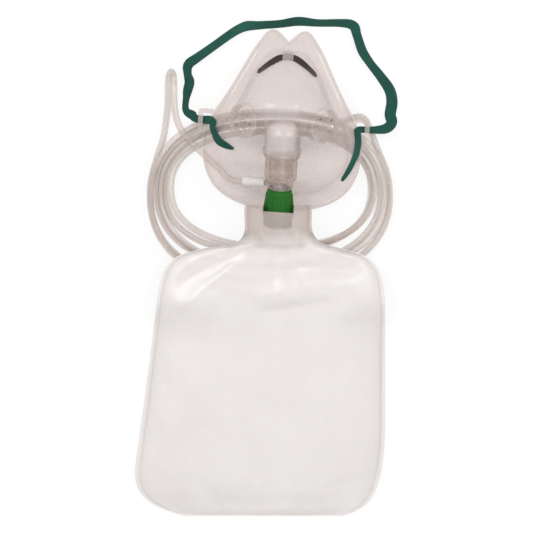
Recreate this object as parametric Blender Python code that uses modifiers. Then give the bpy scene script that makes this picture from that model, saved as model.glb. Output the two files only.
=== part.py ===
"""Adult oxygen mask with a reservoir bag, a head strap and its supply tubing.

It lies flat as it was put down: face side of the mask on the table, the nose end
towards +Y, the bag towards -Y, +Z up. The spare tubing is coiled on the table under
the cheeks of the mask and the top of the bag. The origin is on the table, under the
middle of the mask, strap and bag. Sizes are in millimetres until a mesh is made.
"""

import bpy
import bmesh
import math
from mathutils import Matrix, Vector

MM = 0.001
GAP = 0.3                      # clearance between pieces that touch

# Supply tubing and its coil
TUBE_DIAMETER = 4.8
COIL_HEIGHT = 10.0
COIL_CENTRE = (2.8, 49.0)
COIL_OUTER = (87.0, 64.0)
COIL_INNER = (67.2, 37.0)
COIL_INNER_SHIFT = 4.6
COIL_SQUARENESS = 2.3
LOBE_AT = (67.4, 103.6)         # hairpin that stands out of the coil
LOBE_RADIUS = 7.2

# Head strap
STRAP_WIDTH = 7.0
STRAP_THICKNESS = 0.9

# Mask shell
MASK_AT = (15.75, 156.8)       # notch in the nose edge
MASK_TURN = math.radians(-3.62)
WALL = 1.4
DOME_CENTRE_V = 62.0
DOME_POWER = 3.2
DOME_ROUNDNESS = 0.625
RIM_CHEEK = COIL_HEIGHT + 2 * GAP + STRAP_THICKNESS + WALL + 0.6
RIM_NOSE = WALL + 0.4
RIM_CHIN = WALL + 2.3
FLANGE_DROP = 0.5
FLANGE_CURL = 0.6

EAR_SLOT_U = 54.0
EAR_SLOT_V = 58.0
EAR_SLOT_WIDTH = 5.6
EAR_SLOT_LENGTH = STRAP_WIDTH + 2.2
EAR_BAR = 3.4
EAR_THICKNESS = 2.1
EAR_PROUD = 0.35

# Socket of the mask and the tee in it, on one sloping axis
AXIS_SLOPE = math.radians(20.0)
SOCKET_V = 78.0
SOCKET_Z = 40.2
SPIGOT_RADIUS = 11.0
SPIGOT_LENGTH = 10.0
SOCKET_WALL = 1.3
SOCKET_DEPTH = SPIGOT_LENGTH + 3.0
SOCKET_BEAD = 0.8
SOCKET_BEAD_LENGTH = 3.0
TEE_WALL = 1.4
TEE_SHOULDER = 1.3
TEE_BARREL_RADIUS = 11.3
TEE_BARREL_LENGTH = 19.4
TEE_NECK_RADIUS = 9.1
TEE_NECK_LENGTH = 5.6
TEE_STEM_RADIUS = 6.6
TEE_STEM_LENGTH = 13.0
NIPPLE_RADIUS = 2.3
NIPPLE_BORE = 1.2
NIPPLE_LENGTH = 13.0
NIPPLE_BARB = 0.35

# Inlet valve at the mouth of the tee
VALVE_SEAT_THICKNESS = 1.4
VALVE_SEAT_DEPTH = 3.0
VALVE_RIM = 1.5
VALVE_SPOKE = 1.1
VALVE_FLAP_THICKNESS = 0.5
VALVE_STEM_RADIUS = 0.8
VALVE_HEAD_RADIUS = 1.5
VALVE_HEAD_THICKNESS = 0.8
VALVE_HUB_RADIUS = 2.6

# Exhalation ports in the cheeks
PORT_U = 28.0
PORT_V = 57.0
PORT_RADIUS = 12.0
PORT_RISE = 2.0
PORT_PLATE = 1.4
PORT_HOLES = 8
PORT_HOLE_RADIUS = 1.5
PORT_HOLE_CIRCLE = 6.6
PORT_FLAP_RADIUS = 10.4

# Nose clip and the moulded bridge that holds it
CLIP_WIDTH = 5.0
CLIP_THICKNESS = 0.5
CLIP_TOP_V = 10.5
CLIP_END_U = 20.6
CLIP_END_V = 23.0
BRIDGE_LENGTH = 7.4
BRIDGE_WALL = 1.1

# Green collar that carries the bag
COLLAR_TOP_RADIUS = 8.4
COLLAR_BASE_RADIUS = 11.2
COLLAR_LENGTH = 19.4
COLLAR_RIBS = 16
COLLAR_RIB_HEIGHT = 0.5
COLLAR_SPIGOT_RADIUS = 9.4
COLLAR_SPIGOT_LENGTH = 8.0
COLLAR_BEAD = 0.6

# Reservoir bag
BAG_SEAM = 1.0
BAG_REST = COIL_HEIGHT + GAP
BAG_FRONT_V = 119.4            # film in front of the collar starts here
FOLD_DEPTH = 2.0
FOLD_SPREAD = 9.0

# Tube sleeve on the nipple and the far connector
SLEEVE_RADIUS = 3.5
SLEEVE_LENGTH = 15.0
SOURCE_RADIUS = 4.5
SOURCE_LENGTH = 34.0
SOURCE_BORE = 2.7


def clear_scene():
    for thing in list(bpy.data.objects):
        bpy.data.objects.remove(thing, do_unlink=True)


def collection(name):
    found = bpy.data.collections.get(name) or bpy.data.collections.new(name)
    if name not in bpy.context.scene.collection.children:
        bpy.context.scene.collection.children.link(found)
    return found


def material(name, colour, roughness, metallic=0.0, alpha=1.0):
    made = bpy.data.materials.new(name)
    made.use_nodes = True
    shader = made.node_tree.nodes["Principled BSDF"]
    shader.inputs["Base Color"].default_value = (*colour, 1.0)
    shader.inputs["Roughness"].default_value = roughness
    shader.inputs["Metallic"].default_value = metallic
    shader.inputs["Alpha"].default_value = alpha
    return made


def add(name, mesh, look=None, parent=None, cutter=False):
    thing = bpy.data.objects.new(name, mesh)
    (CUTTERS if cutter else PARTS).objects.link(thing)
    if parent is not None:
        thing.parent = parent
    if look is not None:
        mesh.materials.append(look)
    if cutter:
        thing.hide_render = True
        thing.display_type = "WIRE"
    return thing


def empty(name, location, rotation, parent=None):
    thing = bpy.data.objects.new(name, None)
    PARTS.objects.link(thing)
    thing.location = location
    thing.rotation_euler = rotation
    thing.parent = parent
    return thing


def finish(mesh, angle=40.0):
    mesh.shade_smooth()
    mesh.set_sharp_from_angle(angle=math.radians(angle))
    return mesh


def mesh_of(name, verts, faces):
    mesh = bpy.data.meshes.new(name)
    mesh.from_pydata([tuple(c * MM for c in v) for v in verts], [], faces)
    work = bmesh.new()
    work.from_mesh(mesh)
    bmesh.ops.recalc_face_normals(work, faces=work.faces)
    open_sheet = any(edge.is_boundary for edge in work.edges)
    if open_sheet and sum(face.normal.z for face in work.faces) < 0:
        bmesh.ops.reverse_faces(work, faces=work.faces)
    work.to_mesh(mesh)
    work.free()
    return finish(mesh)


def loft(name, sections, ring=False):
    """Skin closed sections of equal count; cap the two ends unless the row is a ring."""
    count = len(sections[0])
    verts = [p for section in sections for p in section]
    faces = []
    rows = len(sections)
    for i in range(rows if ring else rows - 1):
        a = i * count
        b = ((i + 1) % rows) * count
        for j in range(count):
            k = (j + 1) % count
            faces.append((a + j, a + k, b + k, b + j))
    if not ring:
        faces.append(tuple(range(count)))
        faces.append(tuple(range((rows - 1) * count, rows * count)))
    return mesh_of(name, verts, faces)


def turned(name, profile, look=None, parent=None, steps=32, closed=True, cutter=False):
    """Turn a profile of (radius, z) about Z with a Screw modifier."""
    mesh = bpy.data.meshes.new(name)
    verts = [(r * MM, 0.0, z * MM) for r, z in profile]
    edges = [(i, i + 1) for i in range(len(profile) - 1)]
    if closed:
        edges.append((len(profile) - 1, 0))
    mesh.from_pydata(verts, edges, [])
    thing = add(name, mesh, look, parent, cutter)
    screw = thing.modifiers.new("turn", "SCREW")
    screw.axis = "Z"
    screw.steps = steps
    screw.render_steps = steps
    screw.use_merge_vertices = True
    screw.merge_threshold = 0.00001
    screw.use_smooth_shade = True
    return thing


def boolean(thing, other, kind):
    step = thing.modifiers.new(other.name, "BOOLEAN")
    step.operation = kind
    step.solver = "EXACT"
    step.object = other


def spline(points, steps):
    """Points along a smooth curve through the given ones, evenly many per span."""
    pts = [Vector(p) for p in points]
    ext = [2 * pts[0] - pts[1]] + pts + [2 * pts[-1] - pts[-2]]
    out = []
    for i in range(1, len(ext) - 2):
        p0, p1, p2, p3 = ext[i - 1:i + 3]
        t0 = 0.0
        t1 = t0 + max((p1 - p0).length, 1e-6) ** 0.5
        t2 = t1 + max((p2 - p1).length, 1e-6) ** 0.5
        t3 = t2 + max((p3 - p2).length, 1e-6) ** 0.5
        for k in range(steps):
            t = t1 + (t2 - t1) * k / steps
            a1 = p0.lerp(p1, (t - t0) / (t1 - t0))
            a2 = p1.lerp(p2, (t - t1) / (t2 - t1))
            a3 = p2.lerp(p3, (t - t2) / (t3 - t2))
            b1 = a1.lerp(a2, (t - t0) / (t2 - t0))
            b2 = a2.lerp(a3, (t - t1) / (t3 - t1))
            out.append(b1.lerp(b2, (t - t1) / (t2 - t1)))
    out.append(pts[-1].copy())
    return out


def even(points, spacing):
    """The same line with its points a given distance apart."""
    lengths = [0.0]
    for a, b in zip(points, points[1:]):
        lengths.append(lengths[-1] + (b - a).length)
    count = max(2, round(lengths[-1] / spacing))
    out = []
    j = 0
    for i in range(count + 1):
        want = lengths[-1] * i / count
        while j < len(points) - 2 and lengths[j + 1] < want:
            j += 1
        span = lengths[j + 1] - lengths[j]
        out.append(points[j].lerp(points[j + 1], (want - lengths[j]) / span))
    return out


def table(rows, x):
    """Value at x of a smooth line through (x, value) rows."""
    if x <= rows[0][0]:
        return rows[0][1]
    if x >= rows[-1][0]:
        return rows[-1][1]
    slopes = []
    for i in range(len(rows)):
        a = rows[max(i - 1, 0)]
        b = rows[min(i + 1, len(rows) - 1)]
        slopes.append((b[1] - a[1]) / (b[0] - a[0]))
    for i in range(len(rows) - 1):
        x0, y0 = rows[i]
        x1, y1 = rows[i + 1]
        if x <= x1:
            h = x1 - x0
            t = (x - x0) / h
            return (
                (1 + 2 * t) * (1 - t) ** 2 * y0
                + t * (1 - t) ** 2 * h * slopes[i]
                + t * t * (3 - 2 * t) * y1
                + t * t * (t - 1) * h * slopes[i + 1]
            )
    return rows[-1][1]


# Outlines of the mask, seen from above: u to the right, v from the nose to the chin
EDGE = [
    (0.0, 0.0), (5.6, -4.4), (11.4, -7.6), (16.2, -5.2), (23.4, 7.0), (30.6, 21.0),
    (38.6, 36.0), (45.2, 47.0), (50.5, 55.0), (54.6, 64.0), (54.4, 76.0), (53.0, 88.0),
    (47.0, 101.0), (37.7, 109.0), (24.0, 114.5), (0.0, 118.0),
]
BASE = [
    (0.0, 5.4), (7.5, 6.0), (14.0, 8.8), (20.0, 17.0), (26.0, 29.0), (31.5, 41.0),
    (37.5, 50.0), (43.5, 58.0), (46.5, 69.0), (45.0, 84.0), (39.0, 94.5), (29.0, 102.0),
    (15.0, 106.5), (0.0, 108.5),
]
RIM = [
    (-8.0, RIM_NOSE), (4.0, RIM_NOSE + 0.6), (20.0, RIM_NOSE + 4.6), (42.0, RIM_CHEEK),
    (60.0, RIM_CHEEK), (82.0, RIM_CHEEK), (96.0, RIM_CHEEK - 3.6), (108.0, RIM_CHIN + 1.2),
    (120.0, RIM_CHIN),
]
RIDGE = [
    (6.0, 6.0), (12.0, 12.0), (20.0, 23.0), (30.0, 37.0), (38.0, 48.0), (43.0, 52.5),
    (50.0, 52.0), (56.0, 48.5), (62.0, 42.5), (68.0, 34.0), (74.0, 26.0), (80.0, 22.4),
    (86.0, 20.6), (92.0, 18.9), (98.0, 16.8), (103.0, 14.0), (108.0, 11.0),
]


def closed_outline(half):
    right = [(u, v, 0.0) for u, v in half]
    left = [(-u, v, 0.0) for u, v in half[1:-1]][::-1]
    loop = right + left
    dense = spline(loop[-3:] + loop + loop[:4], 12)
    return dense[3 * 12:-3 * 12]


def radii(half, count):
    """Distance from the dome's centre to an outline, at even angles."""
    line = [(p.x, p.y - DOME_CENTRE_V) for p in closed_outline(half)]
    out = []
    for i in range(count):
        angle = 2 * math.pi * i / count
        d = (math.sin(angle), -math.cos(angle))
        best = None
        for (ax, ay), (bx, by) in zip(line, line[1:]):
            ex, ey = bx - ax, by - ay
            cross = d[0] * ey - d[1] * ex
            if abs(cross) < 1e-9:
                continue
            r = (ax * ey - ay * ex) / cross
            s = (ax * d[1] - ay * d[0]) / cross
            if r > 0 and -1e-6 <= s <= 1 + 1e-6:
                best = r if best is None else max(best, r)
        out.append(best)
    return out


MASK_SEGMENTS = 60
BASE_RADII = radii(BASE, MASK_SEGMENTS)
EDGE_RADII = radii(EDGE, MASK_SEGMENTS)


def base_radius(angle):
    x = (angle % (2 * math.pi)) / (2 * math.pi) * MASK_SEGMENTS
    i = int(x) % MASK_SEGMENTS
    f = x - int(x)
    return BASE_RADII[i] * (1 - f) + BASE_RADII[(i + 1) % MASK_SEGMENTS] * f


def fall(t):
    return max(0.0, 1.0 - min(t, 1.0) ** DOME_POWER) ** DOME_ROUNDNESS


def dome(u, v):
    """Height of the dome's outer face over the table."""
    du, dv = u, v - DOME_CENTRE_V
    t = math.hypot(du, dv) / base_radius(math.atan2(du, -dv))
    on_axis = abs(dv) / (base_radius(0.0) if dv < 0 else base_radius(math.pi))
    rim = table(RIM, v)
    rise = (table(RIDGE, v) - rim) / max(fall(on_axis), 0.36)
    return rim + max(rise, 0.0) * fall(t)


def dome_normal(u, v, d=0.6):
    gu = (dome(u + d, v) - dome(u - d, v)) / (2 * d)
    gv = (dome(u, v + d) - dome(u, v - d)) / (2 * d)
    return Vector((-gu, gv, 1.0)).normalized()


def dome_point(u, v, out=0.0):
    """A point of the dome in the mask's frame, whose y is -v."""
    return Vector((u, -v, dome(u, v))) + dome_normal(u, v) * out


def mask_sheet(name, rings, flange, lower=0.0, floor=None):
    """Polar net over the dome, with or without its flange, open or closed below."""
    verts = [(0.0, -DOME_CENTRE_V, dome(0.0, DOME_CENTRE_V) - lower)]
    rows = []
    for t in rings:
        row = []
        for i in range(MASK_SEGMENTS):
            angle = 2 * math.pi * i / MASK_SEGMENTS
            r = BASE_RADII[i] * t
            u = r * math.sin(angle)
            v = DOME_CENTRE_V - r * math.cos(angle)
            row.append((u, -v, dome(u, v) - lower))
        rows.append(row)
    for share, rise in flange:
        row = []
        for i in range(MASK_SEGMENTS):
            angle = 2 * math.pi * i / MASK_SEGMENTS
            r = BASE_RADII[i] * (1 - share) + EDGE_RADII[i] * share
            u = r * math.sin(angle)
            v = DOME_CENTRE_V - r * math.cos(angle)
            row.append((u, -v, table(RIM, v) + rise))
        rows.append(row)
    if floor is not None:
        rows.append([(x, y, floor) for x, y, z in rows[-1]])
    for row in rows:
        verts += row
    n = MASK_SEGMENTS
    faces = [(0, 1 + i, 1 + (i + 1) % n) for i in range(n)]
    for k in range(len(rows) - 1):
        a = 1 + k * n
        for i in range(n):
            j = (i + 1) % n
            faces.append((a + i, a + n + i, a + n + j, a + j))
    if floor is not None:
        faces.append(tuple(range(1 + (len(rows) - 1) * n, 1 + len(rows) * n)))
    return mesh_of(name, verts, faces)


def swept(name, centres, sides, normals, width, low, high):
    """A flat bar along a line: width across, from low to high along the normals."""
    sections = []
    for c, s, n in zip(centres, sides, normals):
        half = s * (width / 2)
        sections.append([c - half + n * low, c + half + n * low,
                         c + half + n * high, c - half + n * high])
    return loft(name, sections)


def lay(points):
    """Sides and normals of a flat strip that follows a line without twisting over."""
    plan = []
    for i in range(len(points)):
        a = points[max(i - 2, 0)]
        b = points[min(i + 2, len(points) - 1)]
        plan.append(Vector((b.x - a.x, b.y - a.y, 0.0)).normalized())
    sides = [Vector((p.y, -p.x, 0.0)) for p in plan]
    normals = []
    for i in range(len(points)):
        a = points[max(i - 1, 0)]
        b = points[min(i + 1, len(points) - 1)]
        normals.append(sides[i].cross((b - a).normalized()).normalized())
    return sides, normals


def tube(name, points, radius, look, sides=2):
    curve = bpy.data.curves.new(name, "CURVE")
    curve.dimensions = "3D"
    curve.bevel_depth = radius * MM
    curve.bevel_resolution = sides
    curve.use_fill_caps = True
    line = curve.splines.new("POLY")
    line.points.add(len(points) - 1)
    for point, place in zip(line.points, points):
        point.co = (place.x * MM, place.y * MM, place.z * MM, 1.0)
    guide = bpy.data.objects.new(name + "_guide", curve)
    CUTTERS.objects.link(guide)
    graph = bpy.context.evaluated_depsgraph_get()
    mesh = bpy.data.meshes.new_from_object(guide.evaluated_get(graph))
    bpy.data.objects.remove(guide, do_unlink=True)
    mesh.name = name
    work = bmesh.new()
    work.from_mesh(mesh)
    bmesh.ops.remove_doubles(work, verts=work.verts, dist=0.00001)
    bmesh.ops.recalc_face_normals(work, faces=work.faces)
    work.to_mesh(mesh)
    work.free()
    return add(name, finish(mesh), look)


def box(name, size, centre, parent, look=None, cutter=True):
    work = bmesh.new()
    bmesh.ops.create_cube(work, size=1.0)
    bmesh.ops.scale(work, vec=[s * MM for s in size], verts=work.verts)
    bmesh.ops.translate(work, vec=[c * MM for c in centre], verts=work.verts)
    mesh = bpy.data.meshes.new(name)
    work.to_mesh(mesh)
    work.free()
    return add(name, mesh, look, parent, cutter)


def drills(name, spots, middle, depth, parent, sides=8):
    """Round cutters along Z, one for each (x, y, radius)."""
    work = bmesh.new()
    for x, y, radius in spots:
        made = bmesh.ops.create_cone(
            work, cap_ends=True, segments=sides, radius1=radius * MM, radius2=radius * MM,
            depth=depth * MM)
        bmesh.ops.translate(work, vec=(x * MM, y * MM, middle * MM), verts=made["verts"])
    mesh = bpy.data.meshes.new(name)
    work.to_mesh(mesh)
    work.free()
    return add(name, mesh, None, parent, cutter=True)


def place(thing, centre, axis):
    """Stand a piece's Z along an axis at a point of its parent's frame."""
    turn = Vector(axis).to_track_quat("Z", "Y").to_matrix().to_4x4()
    thing.matrix_local = Matrix.Translation(Vector(centre) * MM) @ turn


clear_scene()
PARTS = collection("oxygen_mask")
CUTTERS = collection("cutters")

CLEAR = material("clear_pvc", (0.74, 0.72, 0.70), 0.22, 0.0, 0.45)
RIGID = material("clear_rigid", (0.66, 0.63, 0.60), 0.15, 0.0, 0.5)
FILM = material("bag_film", (0.86, 0.84, 0.83), 0.3, 0.0, 0.7)
GREEN = material("green_plastic", (0.01, 0.19, 0.02), 0.35)
ELASTIC = material("green_elastic", (0.012, 0.10, 0.07), 0.85)
ALUMINIUM = material("aluminium", (0.45, 0.42, 0.38), 0.35, 1.0)
SILICONE = material("silicone", (0.78, 0.74, 0.68), 0.5)
TUBING = material("tubing", (0.60, 0.55, 0.52), 0.2, 0.0, 0.6)

MASK = empty("mask_axis", (MASK_AT[0] * MM, MASK_AT[1] * MM, 0.0), (0, 0, MASK_TURN))
TEE = empty(
    "tee_axis",
    (0.0, -SOCKET_V * MM, SOCKET_Z * MM),
    (-(math.pi / 2 - AXIS_SLOPE), 0, 0),
    MASK,
)


# Mask shell: dome and flange in one sheet, thickened inwards
RINGS = [0.16, 0.31, 0.44, 0.56, 0.67, 0.77, 0.86, 0.93, 0.98]
FLANGE = [(0.08, 0.0), (0.35, -FLANGE_DROP * 0.6), (0.7, -FLANGE_DROP * 0.6), (1.0, FLANGE_CURL)]
shell = add("mask_shell", mask_sheet("mask_shell", RINGS, FLANGE), CLEAR, MASK)
thick = shell.modifiers.new("wall", "SOLIDIFY")
thick.thickness = WALL * MM
thick.offset = -1.0

cavity = add(
    "cavity_cutter",
    mask_sheet("cavity_cutter", RINGS, [], lower=WALL * 0.7, floor=-10.0),
    None, MASK, cutter=True,
)

# Snout: a closed round end over the dome, open towards the chin
SOCKET_RADIUS = SPIGOT_RADIUS + GAP
SNOUT_RADIUS = SOCKET_RADIUS + SOCKET_WALL


def round_end(radius, top, steps=6):
    out = []
    for i in range(steps + 1):
        a = math.pi / 2 * (1 - i / steps)
        out.append((radius * math.cos(a), top + radius * math.sin(a)))
    return out


snout = turned(
    "snout",
    round_end(SNOUT_RADIUS, SOCKET_DEPTH)
    + [
        (SNOUT_RADIUS, SOCKET_BEAD_LENGTH + SOCKET_BEAD),
        (SNOUT_RADIUS + SOCKET_BEAD, SOCKET_BEAD_LENGTH),
        (SNOUT_RADIUS + SOCKET_BEAD, 0.0),
        (0.0, 0.0),
    ],
    None, TEE, closed=False, cutter=True,
)
boolean(snout, cavity, "DIFFERENCE")
boolean(shell, snout, "UNION")

# Ears with the strap slots
for side, tag in ((-1, "left"), (1, "right")):
    outer = EAR_SLOT_U + EAR_SLOT_WIDTH / 2 + EAR_BAR
    inner = EAR_SLOT_U - EAR_SLOT_WIDTH / 2 - 4.5
    length = EAR_SLOT_LENGTH + 2 * EAR_BAR
    ear = box(
        "ear_" + tag,
        (outer - inner, length, EAR_THICKNESS),
        (side * (outer + inner) / 2, -EAR_SLOT_V, RIM_CHEEK + EAR_PROUD - EAR_THICKNESS / 2),
        MASK,
    )
    round_off = ear.modifiers.new("corners", "BEVEL")
    round_off.width = 2.6 * MM
    round_off.segments = 3
    round_off.limit_method = "WEIGHT"
    weights = ear.data.attributes.new("bevel_weight_edge", "FLOAT", "EDGE")
    for edge in ear.data.edges:
        a, b = (ear.data.vertices[i].co for i in edge.vertices)
        upright = abs(a.z - b.z) > 1e-6
        if upright and side * a.x > (outer - 1) * MM:
            weights.data[edge.index].value = 1.0
    boolean(shell, ear, "UNION")

# Bridge over the nose clip
CLIP_LINE = spline(
    [
        (-CLIP_END_U, CLIP_END_V, 0), (-CLIP_END_U * 0.62, CLIP_END_V - 6.4, 0),
        (-CLIP_END_U * 0.28, CLIP_TOP_V + 1.5, 0), (0, CLIP_TOP_V, 0),
        (CLIP_END_U * 0.28, CLIP_TOP_V + 1.5, 0), (CLIP_END_U * 0.62, CLIP_END_V - 6.4, 0),
        (CLIP_END_U, CLIP_END_V, 0),
    ],
    5,
)


def over_dome(line):
    centres = [dome_point(p.x, p.y) for p in line]
    normals = [dome_normal(p.x, p.y, CLIP_WIDTH / 2) for p in line]
    sides = []
    for i in range(len(line)):
        a = centres[max(i - 1, 0)]
        b = centres[min(i + 1, len(line) - 1)]
        sides.append(normals[i].cross((b - a).normalized()).normalized())
        normals[i] = (b - a).cross(sides[i]).normalized()
    return centres, sides, normals


def clip_part(half_length):
    count = 4
    line = []
    for i in range(count + 1):
        u = -half_length + 2 * half_length * i / count
        near = min(range(len(CLIP_LINE) - 1), key=lambda k: abs(
            (CLIP_LINE[k].x + CLIP_LINE[k + 1].x) / 2 - u))
        a, b = CLIP_LINE[near], CLIP_LINE[near + 1]
        f = (u - a.x) / (b.x - a.x)
        line.append(Vector((u, a.y + (b.y - a.y) * f, 0)))
    return line


CLIP_LIFT = GAP + CLIP_THICKNESS
bridge = add(
    "bridge",
    swept("bridge", *over_dome(clip_part(BRIDGE_LENGTH / 2)), CLIP_WIDTH + 2 * (GAP + BRIDGE_WALL),
          -WALL * 0.6, CLIP_LIFT + GAP + BRIDGE_WALL),
    None, MASK, cutter=True,
)
boolean(shell, bridge, "UNION")
tunnel = add(
    "tunnel",
    swept("tunnel", *over_dome(clip_part(BRIDGE_LENGTH / 2 + 3.0)), CLIP_WIDTH + 2 * GAP,
          -0.02, CLIP_LIFT + GAP),
    None, MASK, cutter=True,
)
boolean(shell, tunnel, "DIFFERENCE")

clip = add(
    "nose_clip",
    swept("nose_clip", *over_dome(CLIP_LINE), CLIP_WIDTH, GAP, CLIP_LIFT),
    ALUMINIUM, MASK,
)

# Exhalation ports: a flat perforated plate on a short boss, with a flap outside
PORT_DEPTH = 14.0
for side, tag in ((-1, "left"), (1, "right")):
    normal = dome_normal(side * PORT_U, PORT_V, PORT_RADIUS / 2)
    centre = dome_point(side * PORT_U, PORT_V)
    cup = turned(
        "port_" + tag,
        [(0.0, PORT_RISE), (PORT_RADIUS, PORT_RISE), (PORT_RADIUS, -PORT_DEPTH),
         (PORT_RADIUS - WALL, -PORT_DEPTH), (PORT_RADIUS - WALL, PORT_RISE - PORT_PLATE),
         (0.0, PORT_RISE - PORT_PLATE)],
        None, MASK, steps=28, closed=False, cutter=True,
    )
    place(cup, centre, normal)
    spots = [(0.0, 0.0, VALVE_STEM_RADIUS + GAP)]
    for k in range(PORT_HOLES):
        angle = 2 * math.pi * (k + 0.3) / PORT_HOLES
        spots.append((PORT_HOLE_CIRCLE * math.cos(angle), PORT_HOLE_CIRCLE * math.sin(angle),
                      PORT_HOLE_RADIUS))
    holes = drills("port_holes_" + tag, spots, PORT_RISE - PORT_PLATE / 2, PORT_PLATE + 2, MASK)
    place(holes, centre, normal)
    boolean(cup, holes, "DIFFERENCE")
    boolean(cup, cavity, "DIFFERENCE")
    plug = drills(
        "port_opening_" + tag, [(0.0, 0.0, PORT_RADIUS - WALL * 0.4)], -2.0, 24.0, MASK, 28)
    place(plug, centre, normal)
    boolean(shell, plug, "DIFFERENCE")
    boolean(shell, cup, "UNION")
    face = PORT_RISE + GAP
    back = PORT_RISE - PORT_PLATE - GAP
    flap = turned(
        "exhalation_flap_" + tag,
        [
            (0.0, face + VALVE_FLAP_THICKNESS + 0.6),
            (VALVE_HEAD_RADIUS, face + VALVE_FLAP_THICKNESS + 0.4),
            (VALVE_HEAD_RADIUS + 0.6, face + VALVE_FLAP_THICKNESS),
            (PORT_FLAP_RADIUS, face + VALVE_FLAP_THICKNESS),
            (PORT_FLAP_RADIUS, face),
            (VALVE_STEM_RADIUS, face),
            (VALVE_STEM_RADIUS, back),
            (VALVE_HEAD_RADIUS, back),
            (VALVE_STEM_RADIUS, back - VALVE_HEAD_THICKNESS),
            (0.0, back - VALVE_HEAD_THICKNESS),
        ],
        SILICONE, MASK, steps=24, closed=False,
    )
    place(flap, centre, normal)

# Strap slots and the socket's bore, cut last
for side, tag in ((-1, "left"), (1, "right")):
    slot = box(
        "slot_" + tag,
        (EAR_SLOT_WIDTH, EAR_SLOT_LENGTH, 8.0),
        (side * EAR_SLOT_U, -EAR_SLOT_V, RIM_CHEEK - EAR_THICKNESS / 2),
        MASK,
    )
    boolean(shell, slot, "DIFFERENCE")
bore = turned(
    "socket_bore",
    round_end(SOCKET_RADIUS, SOCKET_DEPTH) + [(SOCKET_RADIUS, -6.0), (0.0, -6.0)],
    None, TEE, closed=False, cutter=True,
)
boolean(shell, bore, "DIFFERENCE")


# Tee: spigot in the mask, barrel, neck with the nipple, stem for the collar
SEAT_LEDGE = SPIGOT_LENGTH - VALVE_SEAT_DEPTH
TEE_BORE = SPIGOT_RADIUS - TEE_WALL
BARREL_END = -(GAP + TEE_BARREL_LENGTH)
NECK_END = BARREL_END - TEE_NECK_LENGTH
STEM_END = NECK_END - TEE_STEM_LENGTH
SHOULDER_RADIUS = SNOUT_RADIUS + 0.2
STEM_BORE = TEE_STEM_RADIUS - TEE_WALL
tee = turned(
    "tee_body",
    [
        (SPIGOT_RADIUS - 0.3, SPIGOT_LENGTH),
        (SPIGOT_RADIUS, SPIGOT_LENGTH - 0.5),
        (SPIGOT_RADIUS, -GAP),
        (SHOULDER_RADIUS, -GAP),
        (SHOULDER_RADIUS, -GAP - TEE_SHOULDER),
        (TEE_BARREL_RADIUS, -GAP - TEE_SHOULDER - 0.6),
        (TEE_BARREL_RADIUS, BARREL_END + 1.8),
        (TEE_BARREL_RADIUS - 0.7, BARREL_END + 0.5),
        (TEE_NECK_RADIUS, BARREL_END),
        (TEE_NECK_RADIUS, NECK_END),
        (TEE_STEM_RADIUS, NECK_END),
        (TEE_STEM_RADIUS, STEM_END),
        (STEM_BORE, STEM_END),
        (STEM_BORE, BARREL_END + 1.2),
        (TEE_BORE - 1.0, BARREL_END + 3.0),
        (TEE_BORE - 1.0, SEAT_LEDGE),
        (TEE_BORE, SEAT_LEDGE),
        (TEE_BORE, SPIGOT_LENGTH),
    ],
    RIGID, TEE, steps=28,
)
NIPPLE_Z = (BARREL_END + NECK_END) / 2
NIPPLE_END = TEE_NECK_RADIUS + NIPPLE_LENGTH
nipple = turned(
    "nipple",
    [(0.0, NIPPLE_END), (NIPPLE_RADIUS - 0.3, NIPPLE_END)]
    + [p for k in range(3) for p in (
        (NIPPLE_RADIUS, NIPPLE_END - 2.0 - 2.0 * k),
        (NIPPLE_RADIUS - NIPPLE_BARB, NIPPLE_END - 2.05 - 2.0 * k))]
    + [(NIPPLE_RADIUS - NIPPLE_BARB, TEE_NECK_RADIUS + 1.0),
       (NIPPLE_RADIUS, TEE_NECK_RADIUS + 0.8), (NIPPLE_RADIUS, STEM_BORE + 0.6),
       (0.0, STEM_BORE + 0.6)],
    None, TEE, steps=12, closed=False, cutter=True,
)
place(nipple, (0, 0, NIPPLE_Z), (-1, 0, 0))
boolean(tee, nipple, "UNION")
lumen = turned(
    "lumen",
    [(0.0, NIPPLE_END + 1), (NIPPLE_BORE, NIPPLE_END + 1),
     (NIPPLE_BORE, STEM_BORE - 2.0), (0.0, STEM_BORE - 2.0)],
    None, TEE, steps=8, closed=False, cutter=True,
)
place(lumen, (0, 0, NIPPLE_Z), (-1, 0, 0))
boolean(tee, lumen, "DIFFERENCE")

# Inlet valve: a spoked seat on the tee's ledge and a disc of silicone on it
SEAT_RADIUS = TEE_BORE - GAP
SEAT_LOW = SEAT_LEDGE + GAP
SEAT_TOP = SEAT_LOW + VALVE_SEAT_THICKNESS
seat = turned(
    "inlet_valve_seat",
    [(SEAT_RADIUS, SEAT_TOP), (SEAT_RADIUS, SEAT_LOW),
     (SEAT_RADIUS - VALVE_RIM, SEAT_LOW), (SEAT_RADIUS - VALVE_RIM, SEAT_TOP)],
    RIGID, TEE, steps=32,
)
hub = turned(
    "seat_hub",
    [(0.0, SEAT_TOP), (VALVE_HUB_RADIUS, SEAT_TOP), (VALVE_HUB_RADIUS, SEAT_LOW),
     (0.0, SEAT_LOW)],
    None, TEE, steps=16, closed=False, cutter=True,
)
boolean(seat, hub, "UNION")
for k in range(2):
    spoke = box(
        "spoke_%d" % k,
        (2 * SEAT_RADIUS - VALVE_RIM, VALVE_SPOKE, VALVE_SEAT_THICKNESS - 0.3),
        (0, 0, (SEAT_LOW + SEAT_TOP) / 2),
        TEE,
    )
    spoke.rotation_euler = (0, 0, math.pi / 2 * k + 0.6)
    boolean(seat, spoke, "UNION")
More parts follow.
